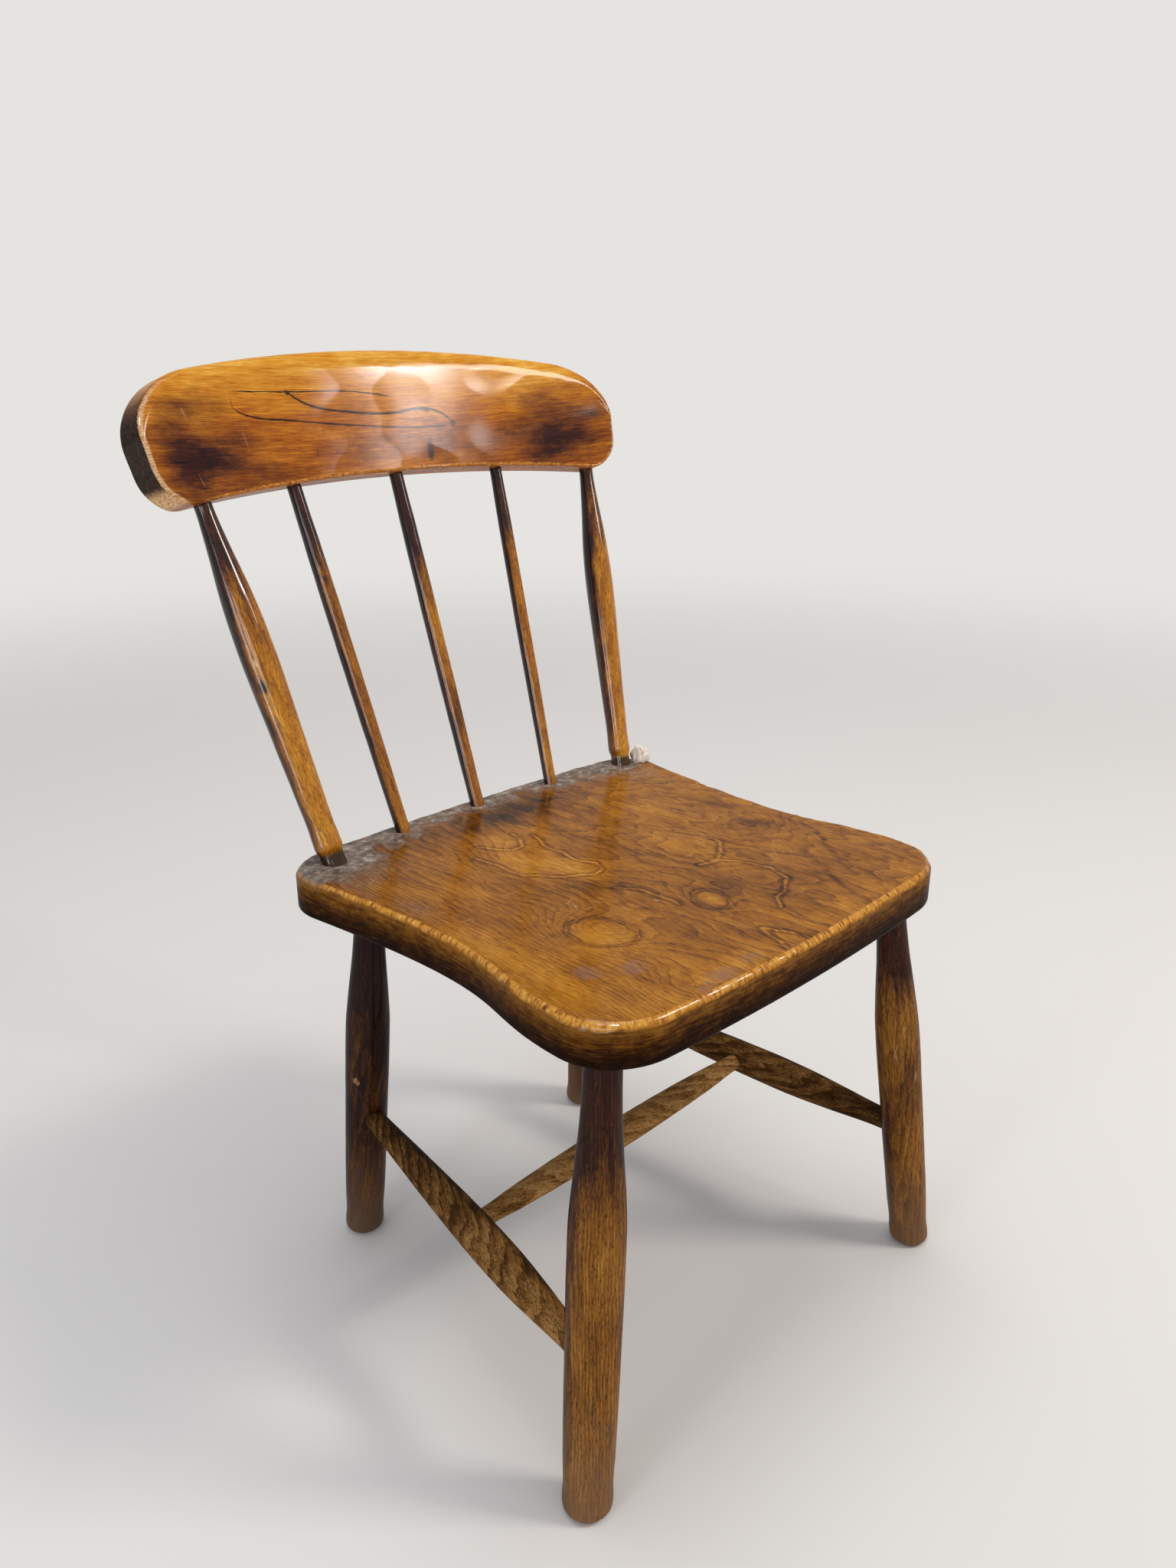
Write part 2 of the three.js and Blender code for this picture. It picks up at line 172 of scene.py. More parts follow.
def evenly(loop, count):
    """The same closed loop of points at equal steps of its own length."""
    closed = np.vstack([loop, loop[:1]])
    run = np.concatenate([[0], np.cumsum(np.linalg.norm(np.diff(closed, axis=0), axis=1))])
    where = np.linspace(0, run[-1], count, endpoint=False)
    return np.stack([np.interp(where, run, closed[:, i]) for i in range(2)], -1)


def inward(loop):
    """Unit normals of an anticlockwise loop, pointing inside."""
    run = np.roll(loop, -1, axis=0) - np.roll(loop, 1, axis=0)
    run /= np.linalg.norm(run, axis=1, keepdims=True)
    return np.stack([-run[:, 1], run[:, 0]], -1)


def slab_rows(depth, low_arris, high_arris, low_rows, high_rows, side_rows, arris_rows):
    """Rows of a slab from the middle of its low face, round its edge, to the middle of its high face.

    Each row is (share of the way out from the middle, inset from the outline, height in the slab).
    """
    turn = np.linspace(0, np.pi / 2, arris_rows)
    out = 1 - (1 - np.linspace(0.02, 1, low_rows)) ** 1.25
    low = np.stack([out, np.full(low_rows, low_arris), np.zeros(low_rows)], -1)
    low_round = np.stack([np.ones(arris_rows), low_arris * (1 - np.sin(turn)),
                          low_arris * (1 - np.cos(turn))], -1)[1:]
    side = np.linspace(low_arris, depth - high_arris, side_rows)[1:]
    side = np.stack([np.ones(len(side)), np.zeros(len(side)), side], -1)
    high_round = np.stack([np.ones(arris_rows), high_arris * (1 - np.cos(turn)),
                           depth - high_arris * (1 - np.sin(turn))], -1)[1:]
    out = 1 - (1 - np.linspace(1, 0.012, high_rows)) ** 1.25
    high = np.stack([out, np.full(high_rows, high_arris), np.full(high_rows, depth)], -1)[1:]
    return np.vstack([low, low_round, side, high_round, high])


def linear(code):
    """Linear colour of an sRGB hex value."""
    channels = np.array([int(code[i:i + 2], 16) for i in (1, 3, 5)]) / 255
    channels = np.where(channels <= 0.04045, channels / 12.92, ((channels + 0.055) / 1.055) ** 2.4)
    return (*channels.tolist(), 1.0)


def put(tree, kind, inputs=(), ramp=(), **settings):
    """Adds a shader node. inputs maps a socket's name or number to a value, an output or a node."""
    made = tree.nodes.new("ShaderNode" + kind)
    for name, value in settings.items():
        setattr(made, name, value)
    for key, value in dict(inputs).items():
        if isinstance(key, int):
            socket = made.inputs[key]
        else:
            socket = next(s for s in made.inputs if s.name == key and s.enabled)
        if isinstance(value, bpy.types.Node):
            value = next(s for s in value.outputs if s.enabled)
        if isinstance(value, bpy.types.NodeSocket):
            tree.links.new(value, socket)
        else:
            socket.default_value = value
    if ramp:
        stops = made.color_ramp.elements
        while len(stops) < len(ramp):
            stops.new(0.5)
        for stop, (place, code) in zip(stops, ramp):
            stop.position = place
            stop.color = linear(code)
    return made


def begin(name):
    """An empty material, and the function that adds a node to it."""
    material = bpy.data.materials.new(name)
    material.use_nodes = True
    material.node_tree.nodes.clear()
    return material, partial(put, material.node_tree)


def read(add, field):
    """The three numbers of a vector attribute that the mesh carries."""
    vector = add("Attribute", attribute_name=field).outputs["Vector"]
    return add("SeparateXYZ", {"Vector": vector}).outputs[:]


def weigh(add, level, *parts):
    """Weighted sum: level + value * gain for each of several parts (value, gain)."""
    for value, gain in parts:
        level = add("Math", {0: value, 1: gain, 2: level}, operation="MULTIPLY_ADD")
    return level


def stretched(add, place, cell, detail, rough):
    """Grain: noise whose cells measure cell = (x, y, z) millimetres in the coordinates of place."""
    near = add("Mapping", {"Vector": place, "Scale": [1 / (side * MM) for side in cell]})
    return add("TexNoise", {"Vector": near, "Scale": 1.0, "Detail": detail, "Roughness": rough})


def strongest(add, place, marks, base=(0, 0, 0), through=60):
    """The strongest of several small marks, each 1 at its middle and 0 at the rim of an ellipse.

    A mark is (middle, half lengths, turn) in the xy plane of place, in millimetres and degrees. base
    is added to each middle, and through is the half length along z.
    """
    most = None
    for middle, reach, turn in marks:
        near = add("Mapping", {
            "Vector": place, "Location": [(v + b) * MM for v, b in zip((*middle, 0), base)],
            "Rotation": (0, 0, np.radians(turn)), "Scale": [v * MM for v in (*reach, through)],
        }, vector_type="TEXTURE")
        mark = add("TexGradient", {"Vector": near}, gradient_type="SPHERICAL")
        most = add("Math", {0: most, 1: mark}, operation="MAXIMUM") if most else mark
    return most


def wood_surface(add, colour, roughness, bump, gloss, coat, coat_roughness):
    """Joins a wood's colour, roughness and relief in one shader, under a clear coat of oil varnish.

    gloss is the index of the wood below, which hardly shines by itself, and 1.5 is the varnish's.
    """
    shader = add("BsdfPrincipled", {
        "Base Color": colour, "Roughness": roughness, "Normal": bump, "IOR": gloss,
        "Coat Weight": coat, "Coat Roughness": coat_roughness, "Coat IOR": 1.5})
    add("OutputMaterial", {"Surface": shader})


def measured_turning(node, standing):
    """A turned solid's axis and profile, read from its own vertices.

    The axis is square to the disc at the high end and runs through its middle. Vertices at one
    distance along it lie on one turned ring, whose radius is their largest distance from the axis.
    A leg's low end is sawn level with the floor.
    """
    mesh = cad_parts[node].data
    points = np.empty(len(mesh.vertices) * 3)
    mesh.vertices.foreach_get("co", points)
    points = np.unique(points.reshape(-1, 3).round(6), axis=0)
    axis = np.linalg.svd(points - points.mean(0), full_matrices=False)[2][0]
    axis *= np.sign(axis[np.abs(axis).argmax()])
    for _ in range(4):
        along = points @ axis
        disc = points[along > along.max() - DISC_DEPTH]
        square = np.linalg.svd(disc - disc.mean(0), full_matrices=False)[2][2]
        axis = square * np.sign(square @ axis)
    end = disc.mean(0)
    start = end + axis * (-end[2] / axis[2] if standing else along.min() - along.max())
    along = (points - start) @ axis
    away = np.linalg.norm(points - start - along[:, None] * axis, axis=1)
    level, member, count = np.unique(
        (along / READ_STEP).round(), return_inverse=True, return_counts=True)
    widest = np.zeros(len(level))
    np.maximum.at(widest, member, away)
    ring = (count >= RING_VERTICES) & (level > 5)
    lowest = away[np.abs(points[:, 2]) < 1e-5] if standing else away[along < DISC_DEPTH]
    place = np.concatenate([[0], level[ring] * READ_STEP])
    radius = np.concatenate([[np.median(lowest)], widest[ring]])
    return start, axis, place, radius


def smooth_profile(place, radius, where):
    """Cubic Hermite curve through the rings' radii, its slopes taken from their neighbours."""
    slope = np.gradient(radius, place)
    cell = np.clip(np.searchsorted(place, where) - 1, 0, len(place) - 2)
    width = place[cell + 1] - place[cell]
    s = np.clip((where - place[cell]) / width, 0, 1)
    rise = 3 * s ** 2 - 2 * s ** 3
    bend = width * s * (s - 1) * ((s - 1) * slope[cell] + s * slope[cell + 1])
    return (1 - rise) * radius[cell] + rise * radius[cell + 1] + bend


def turning(name, node, material, slot, columns, shaded_side, reach, seed, blank, turn, layer, marks):
    """A turned stick: start + along * axis + radius(along) * (cos a, sin a), with softened ends.

    Turning by hand and shrinkage leave it very slightly oval. Fields: blank is each point's place in
    the squared blank it was cut from, in metres with the tree's pith at x = y = 0 and leaning by
    the slope in blank[3]. coat tells how thick the varnish is, the share of the length, and the
    marks. A mark is (share of the length that shows, angle from the front-left in degrees, half
    length and half width in millimetres, depth), dark where the depth is positive and pale where not.

    layer is the varnish's thickness at the low and at the high end. shaded_side points to the side
    that is painted darker as shade, with thicker varnish, and is as long as the varnish is thicker
    there, and reach is the cosine of the angle from that side at which the thicker varnish begins.
    """
    standing = node.startswith("leg")
    start, axis, place, radius = measured_turning(node, standing)
    length = place[-1]
    side = np.cross([0.0, 1.0, 0.0] if abs(axis[1]) < 0.6 else [1.0, 0.0, 0.0], axis)
    side /= np.linalg.norm(side)
    other = np.cross(axis, side)
    rows = int(length / ROW_STEP)
    share = np.concatenate([[0, 0.0012, 0.003], np.linspace(0.006, 1, rows)])
    angle = np.linspace(0, 2 * np.pi, columns, endpoint=False)
    around = np.cos(angle)[:, None] * side + np.sin(angle)[:, None] * other
    around = around[None]
    along = share[:, None] * length * np.ones(columns)
    girth = smooth_profile(place, radius, along)
    girth *= 1 - 0.004 * (1 + np.cos(2 * angle + seed))
    spread = np.stack([np.cos(angle)[None] * girth, np.sin(angle)[None] * girth, along], -1)
    girth -= 0.06 * MM * (1 + drift(spread, (0.02, 0.02, 0.03), seed)) + WORN_OFF
    soften = np.array([1.3, 0.35, 0.0]) * MM
    girth[:3] -= soften[:, None]
    if standing:
        level = -(start[2] + girth * around[..., 2]) / axis[2]
        along = level + (along * (1 - level / length))
    points = start + along[..., None] * axis + girth[..., None] * around
    if standing:
        points[:3, :, 2] = np.array([0.0, 0.35 * MM, 1.1 * MM])[:, None]
    way = np.radians(turn)
    local = np.stack([girth * np.cos(angle + way) + blank[0] * MM + along * blank[3],
                      girth * np.sin(angle + way) + blank[1] * MM,
                      along + blank[2] * MM], -1)
    thick = 0.6 * drift(points, (0.05, 0.05, 0.11), seed + 40)
    thick = thick + layer[0] + (layer[1] - layer[0]) * share[:, None]
    # Painted shade: the varnish is made thicker and darker on the side turned away from the light.
    strength = np.linalg.norm(shaded_side)
    toward_painted_shade = around @ (np.array(shaded_side) / strength)
    toward_painted_shade = toward_painted_shade + 0.12 * drift(points, (0.02, 0.02, 0.05), seed + 60)
    thick = thick + strength * smooth_step(reach, reach + 0.6, toward_painted_shade)
    toward = np.array([-1.0, -1.0, 0.4])
    front = np.arctan2(toward @ other, toward @ side)
    mark = 0 * thick
    # Posts and sticks start inside the seat, and that part of their length doesn't show.
    spindle = node.startswith(("post", "stick"))
    hidden = max(0, (SEAT_TOP * MM - start[2]) / (axis[2] * length)) if spindle else 0
    for where, bearing, half_length, half_width, depth in marks:
        where = hidden + where * (1 - hidden)
        off = (angle - front - np.radians(bearing) + np.pi) % (2 * np.pi) - np.pi
        bell = ((share[:, None] - where) * length / half_length) ** 2 + (off * girth / half_width) ** 2
        mark = mark + depth * np.exp(-bell / MM ** 2)
    coat = np.stack([thick, share[:, None] * np.ones(columns), mark], -1)
    skin(name, points, {"blank": local, "coat": coat}, material, node)


def seat_outline():
    """Plan of the seat, anticlockwise: bowed front and back edges, round corners, drawn-in sides."""
    front, back = SEAT_FRONT, SEAT_BACK
    front_end = np.array([front["half"] - front["corner"], front["y"]])
    front_run = np.array([front_end[0] / 2, front["bow"]]) / np.hypot(front_end[0] / 2, front["bow"])
    side_start = np.array([front["half"], front["y"] + front["corner"]])
    lean = np.radians(back["angle"])
    side_run = np.array([np.sin(lean), np.cos(lean)])
    side_end = np.array([back["half"], back["y"]]) - side_run * back["corner"]
    back_start = np.array([back["half"] - back["corner"], back["y"]])
    back_run = np.array([-back_start[0] / 2, back["bow"]]) / np.hypot(back_start[0] / 2, back["bow"])
    front_round, back_round = front["corner"] * ROUND_HANDLE, back["corner"] * ROUND_HANDLE
    half = np.vstack([
        cubic((0, front["y"] - front["bow"]), (1, 0), front_end[0] / 3, front_end, front_run,
              front_end[0] / 3),
        cubic(front_end, front_run, front_round, side_start, (0, 1), front_round),
        cubic(side_start, (0, 1), front["handle"], side_end, side_run, back["handle"]),
        cubic(side_end, side_run, back_round, back_start, back_run, back_round),
        cubic(back_start, back_run, back_start[0] / 3, (0, back["y"] + back["bow"]), (-1, 0),
              back_start[0] / 3),
    ])
    back_middle = np.array([[0, back["y"] + back["bow"]]])
    return np.vstack([half, back_middle, half[:0:-1] * [-1, 1]])


def figure(x, y):
    """Growth rings that the saw laid open on the plank, counted from the left edge.

    Straight narrow rings run front to back at the left and widen to the right. Bells added to the
    count close it into the ovals, tongues and loops of the real board.
    """
    inland = x + SEAT_BACK["half"]
    rings = 12 * (1 - np.exp(-inland / 24)) + 34 * (1 - np.exp(-inland / 130))
    rings += hills(
        x, y, (7.0, (-87, -67), (25, 31), 14), (3.4, (-3, -84), (13, 19), -15),
        (3.2, (42, -84), (25, 27)), (-2.4, (20, -78), (11, 14)), (3.6, (-44, 50), (27, 46), 4),
        (2.4, (-26, 10), (15, 20), 25), (3.2, (50, -10), (30, 40), 15), (3.4, (-108, -146), (26, 24)),
        (2.4, (108, 60), (34, 60), 20), (-2.8, (118, -20), (30, 24)), (2.0, (-12, -152), (9, 22)))
    place = np.stack([x, y], -1)
    lean = smooth_step(-20, 150, x) * (y + 160) * 0.035
    return rings - lean + 0.5 * drift(place, (30, 80), 5) + 0.12 * drift(place, (8, 30), 6)


# Outlines of the golden loops, and the dark streaks on the right of the board.
LOOPS = (
    ((-68, 72), (-66, 48), (-64, 28), (-52, 15), (-38, 3), (-27, -3.5), (-17, 0), (-14, 9), (-20, 23),
     (-19, 43), (-18, 60), (-12, 76)),
    ((-56, 86), (-47, 72), (-40, 66), (-31, 65), (-24, 76), (-21, 88)),
    ((46, -43), (58, -58), (64, -80), (58, -99), (42, -108), (28, -113), (19, -122)),
    ((68, 8), (77, -8), (75, -26), (62, -39), (46, -46), (34, -44)),
    ((-23, -161), (-18, -141), (-12, -131), (-7, -141), (-3, -160)),
    ((-33, -28), (-26, -40), (-22, -56), (-24, -74)),
)
OVALS = (((-86, -67), (18, 23.5), 14), ((-2.5, -84), (10.5, 16), -15))
STREAKS = (
    (((11, 88), (9, 60), (12, 30), (22, 3)), 1.6, 0.55),
    (((22, 3), (25, -17), (29, -37), (36, -47)), 3.0, 0.9),
    (((108, 43), (125, 27), (137, 10)), 4.0, 0.5),
    (((98, -8), (116, -16), (127, -24), (132, -38)), 5.5, 0.6),
    (((146, -47), (136, -70), (116, -95), (107, -118), (99, -163)), 2.4, 0.75),
    (((106, -76), (89, -108), (75, -130), (64, -163)), 2.2, 0.8),
    (((24, -118), (19, -137), (17, -163)), 1.8, 0.6),
    (((142, -112), (141, -150)), 1.4, 0.55),
    (((66, -96), (46, -104), (30, -116)), 2.4, 0.4),
)


def drawn_figure(x, y):
    """Distance in millimetres to the nearest loop outline, and how dark the streaks make the board."""
    place = np.stack([x, y], -1)
    x = x + 1.0 * drift(place, (22, 30), 51)
    y = y + 1.0 * drift(place, (30, 22), 52)
    away = np.minimum.reduce([distance(x, y, line) for line in LOOPS])
    turn = np.linspace(0, 2 * np.pi, 48)
    for middle, reach, lean in OVALS:
        angle = np.radians(lean)
        a, b = reach[0] * np.cos(turn), reach[1] * np.sin(turn)
        rim = np.stack([middle[0] + a * np.cos(angle) - b * np.sin(angle),
                        middle[1] + a * np.sin(angle) + b * np.cos(angle)], -1)
        away = np.minimum(away, distance(x, y, rim) + 0.8)
    dark = sum(deep * np.exp(-(distance(x, y, line) / width) ** 2) for line, width, deep in STREAKS)
    return away, dark * (0.75 + 0.35 * drift(place, (9, 16), 53))


def tone(x, y):
    """How golden the plank is: about 1 where the varnish is thin and bright, -1 where it is dark."""
    place = np.stack([x, y], -1)
    warm = hills(
        x, y, (1.15, (-43, 40), (21, 38), 8), (0.8, (-25, 10), (12, 16), 25),
        (0.7, (-32, 82), (20, 18)), (0.95, (-3, -84), (9, 14), -15), (0.75, (-87, -67), (17, 22), 14),
        (0.6, (52, -10), (24, 28), 15), (0.85, (-152, -50), (18, 90)), (0.45, (-100, -100), (40, 60)),
        (0.4, (-110, 55), (22, 34)), (0.45, (96, 48), (20, 24), 30), (0.6, (-60, -150), (100, 11)),
        (0.3, (60, -150), (60, 10)), (-0.55, (-42, -16), (26, 10), -30), (-0.9, (21, -76), (12, 15)),
        (-0.5, (115, -25), (24, 16), -20), (-0.4, (118, 30), (12, 30), 35),
        (-1.3, (14, 118), (58, 18)), (-0.2, (70, -100), (42, 30)), (-0.15, (125, -95), (50, 60)),
        (-0.5, (-146, 32), (12, 28)), (-0.8, (-150, 122), (46, 34)))
    warm += 0.3 * smooth_step(0, 110, x) - 0.6 * smooth_step(100, 150, y)
    return warm + 0.22 * drift(place, (26, 60), 8)


def dust(x, y):
    """Grey dust and old polish caught along the back edge and round the feet of the spindles."""
    place = np.stack([x, y], -1)
    edge = 132 - 34 * hill(x, y, (-158, 130), (56, 90)) + 9 * drift(place, (30, 22), 11)
    grey = 0.95 * smooth_step(0, 22, y - edge)
    for foot in SPINDLE_FEET:
        grey = np.maximum(grey, 1.3 * hill(x, y, foot, (16, 13)))
    return grey + hills(
        x, y, (0.4, (-135, 104), (34, 26)), (0.8, (118, 140), (40, 15)), (0.5, (140, 112), (22, 22)))


def haze(x, y):
    """Bloomed, mauve-grey patches in the varnish near the front edge and by the left side."""
    return hills(
        x, y, (1.0, (-129, -97), (9, 11)), (0.9, (-106, -111), (12, 9), 20),
        (1.0, (-76, -152), (12, 9)), (0.8, (-47, -150), (12, 6)), (0.8, (-95, -156), (7, 5)),
        (0.6, (-146, 38), (13, 18)), (0.35, (18, -80), (16, 17)), (0.4, (74, -78), (34, 20), 20),
        (0.3, (28, -150), (10, 8)))


def build_seat(material):
    """The plank: its outline drawn in along its own normals and run from pole to pole.

    A point is middle + (inset outline - middle) * share. The top is very slightly worn hollow and
    the arris wanders by a few tenths of a millimetre where it has been rubbed.
    """
    outline = evenly(seat_outline(), 480)
    inner = inward(outline)
    middle = np.array([0.0, -4.0])
    rows = slab_rows(SEAT_THICKNESS, SEAT_UNDER_ARRIS, SEAT_ARRIS, low_rows=20, high_rows=122,
                     side_rows=14, arris_rows=9)
    share, inset, height = rows[:, 0:1], rows[:, 1:2], rows[:, 2:3]
    worn = 0.35 * (1 + drift(outline, (28, 28), 21)) + 0.22 * (1 + drift(outline, (8, 8), 22))
    rubbed = smooth_step(0.2, 1.0, height / SEAT_THICKNESS) * (inset > 0)
    inset = inset + worn[None] * rubbed
    plan = outline[None] + inner[None] * inset[..., None]
    plan = middle + (plan - middle) * share[..., None]
    x, y = plan[..., 0], plan[..., 1]
    top = smooth_step(SEAT_THICKNESS - 0.5, SEAT_THICKNESS, height)
    hollow = 0.9 * hill(x, y, (-8, -20), (120, 110)) + 0.12 * (1 + drift(plan, (60, 60), 23))
    drop = (hollow * top) + 0.4 * worn[None] * rubbed * (1 - top)
    z = SEAT_TOP - SEAT_THICKNESS + height - drop
    points = np.stack([x, y, z], -1) * MM + ORIGIN
    out = np.linalg.norm(plan - outline[None], axis=-1)
    above = smooth_step(0.55, 0.95, height / SEAT_THICKNESS) * np.ones_like(x)
    front = smooth_step(40, -150, y)
    arris = above * np.exp(-(np.maximum(np.abs(out - 2.2) - 0.5, 0) / (0.95 + 0.5 * front)) ** 2)
    left = smooth_step(-60, -150, x) * (0.45 + 0.55 * smooth_step(110, 20, y))
    arris *= 0.4 + 0.6 * np.maximum(front * smooth_step(190, 60, x), left)
    run = np.cumsum(np.linalg.norm(outline - np.roll(outline, 1, axis=0), axis=1))
    run = np.minimum(run, run[-1] - run)[None] + 0 * x
    loop, streak = drawn_figure(x, y)
    level = height / SEAT_THICKNESS + 0 * x
    fields = {
        "rings": figure(x, y),
        "tone": tone(x, y),
        "film": np.stack([dust(x, y), haze(x, y), arris], -1),
        "drawn": np.stack([loop, streak, level], -1),
        "edge": np.stack([run, out + height + 0 * x, 0.3 * x], -1) * MM,
    }
    skin("elm_seat_plank", points, fields, material, "seat")


def rail_outline():
    """The board's front view: two shallow arches that meet in elliptical corners, anticlockwise."""
    turn = np.linspace(-np.pi / 2, np.pi / 2, 1200)
    along = RAIL["half"] * np.sin(turn)
    arch = (along / RAIL["half"]) ** 2

    def corner(size):
        into = np.maximum(0, np.abs(along) - (RAIL["half"] - size[0])) / size[0]
        return size[1] * (1 - np.sqrt(np.maximum(0, 1 - into * into)))

    low = -RAIL["bottom_arch"] * arch + corner(RAIL["bottom_corner"])
    high = RAIL["height"] - RAIL["top_arch"] * arch - corner(RAIL["top_corner"])
    return np.vstack([np.stack([along, low], -1), np.stack([along, high], -1)[::-1]])


def bowed(along, back, up):
    """Rail point in the frame: the board is bent round an upright axis, then leant back."""
    angle = along * (1 + RAIL["flare"] * up) / RAIL["radius"]
    reach = RAIL["radius"] + back
    x, y = reach * np.sin(angle), reach * np.cos(angle) - RAIL["radius"]
    lean = np.radians(RAIL["lean"])
    return np.stack([x, RAIL["y"] + y * np.cos(lean) + up * np.sin(lean),
                     RAIL["z"] - y * np.sin(lean) + up * np.cos(lean)], -1) * MM + ORIGIN


def build_rail(material):
    """The crest board: its front view drawn in and run from the middle of its back to its face.

    Fields: board is (along, up, through) in metres, and wear holds the stain, the rubbed arris and
    the end grain.
    """
    outline = evenly(rail_outline(), 680)
    inner = inward(outline)
    middle = np.array([0.0, 42.0])
    rows = slab_rows(RAIL["thickness"], RAIL["arris"], RAIL["arris"], low_rows=40, high_rows=52,
                     side_rows=12, arris_rows=9)
    share, inset, height = rows[:, 0:1], rows[:, 1:2], rows[:, 2:3]
    upward = np.maximum(0, -inner[:, 1])
    half = RAIL["thickness"] / 2
    flat = np.clip((height - half) / half, -1, 1)
    # The top of the face is rubbed to a wide round, and every other arris to a narrow one.
    wide = upward * (flat > 0)
    wander = 0.25 * (1 + drift(outline, (26, 26), 31))
    drawn_in = 0.17 + inset * (0.42 + 0.58 * upward + 2.3 * wide) + wander * (inset > 0)
    plan = outline[None] + inner[None] * drawn_in[..., None]
    plan = middle + (plan - middle) * share[..., None]
    along, up = plan[..., 0], plan[..., 1]
    back = -(height - half) + 0 * along
    back = np.sign(back) * (half - (half - np.abs(back)) * (0.42 + 0.58 * upward + 0.3 * wide))
    back = back - 0.25 * drift(plan, (120, 50), 33) * (np.abs(flat) > 0.99) * np.sign(back)
    back = np.clip(back, -half, half - 0.55)
    points = bowed(along, back, up)
    face = smooth_step(0.2, 0.9, flat) + 0 * along
    out = np.linalg.norm(plan - outline[None], axis=-1)
    board = np.stack([along, up, back], -1)
    stain = hills(
        along, up, (0.85, (-178, 17), (23, 26)), (0.5, (-150, 8), (36, 26)),
        (0.9, (168, 20), (38, 34), 6), (0.25, (126, 16), (44, 26)), (0.3, (-172, 50), (28, 16)),
        (0.28, (60, 14), (70, 18)), (0.2, (-100, 2), (60, 22)))
    stain += 0.2 * drift(board, (60, 20, 40), 35)
    stain *= smooth_step(74, 50, up)
    flank = np.abs(inner[:, 0])[None]
    ends = smooth_step(0.35, 0.95, flank) * smooth_step(3.0, 0.5, out)
    rub = np.exp(-(np.maximum(out - 1.8, 0) / 1.5) ** 2) * smooth_step(0.55, 0.85, flat)
    rub = rub * smooth_step(0.35, 0.9, flank) * (1 - 0.5 * smooth_step(0, 60, along))
    raw = hill(along, up, (-197, -9), (9, 9), -30) * (inner[:, 1] > -0.2)[None] * (along < -182)
    rub = np.maximum(rub, raw * smooth_step(6, 1, out))
    below = np.maximum(inner[:, 1], 0)[None] * smooth_step(-190, -150, along)
    below = below * np.exp(-(np.maximum(out - 1.6, 0) / 1.3) ** 2) * smooth_step(0.4, 0.8, flat)
    fields = {"board": board * MM, "wear": np.stack([stain * face, rub, ends], -1),
              "lower_arris": below}
    skin("crest_board", points, fields, material, "crest_rail")


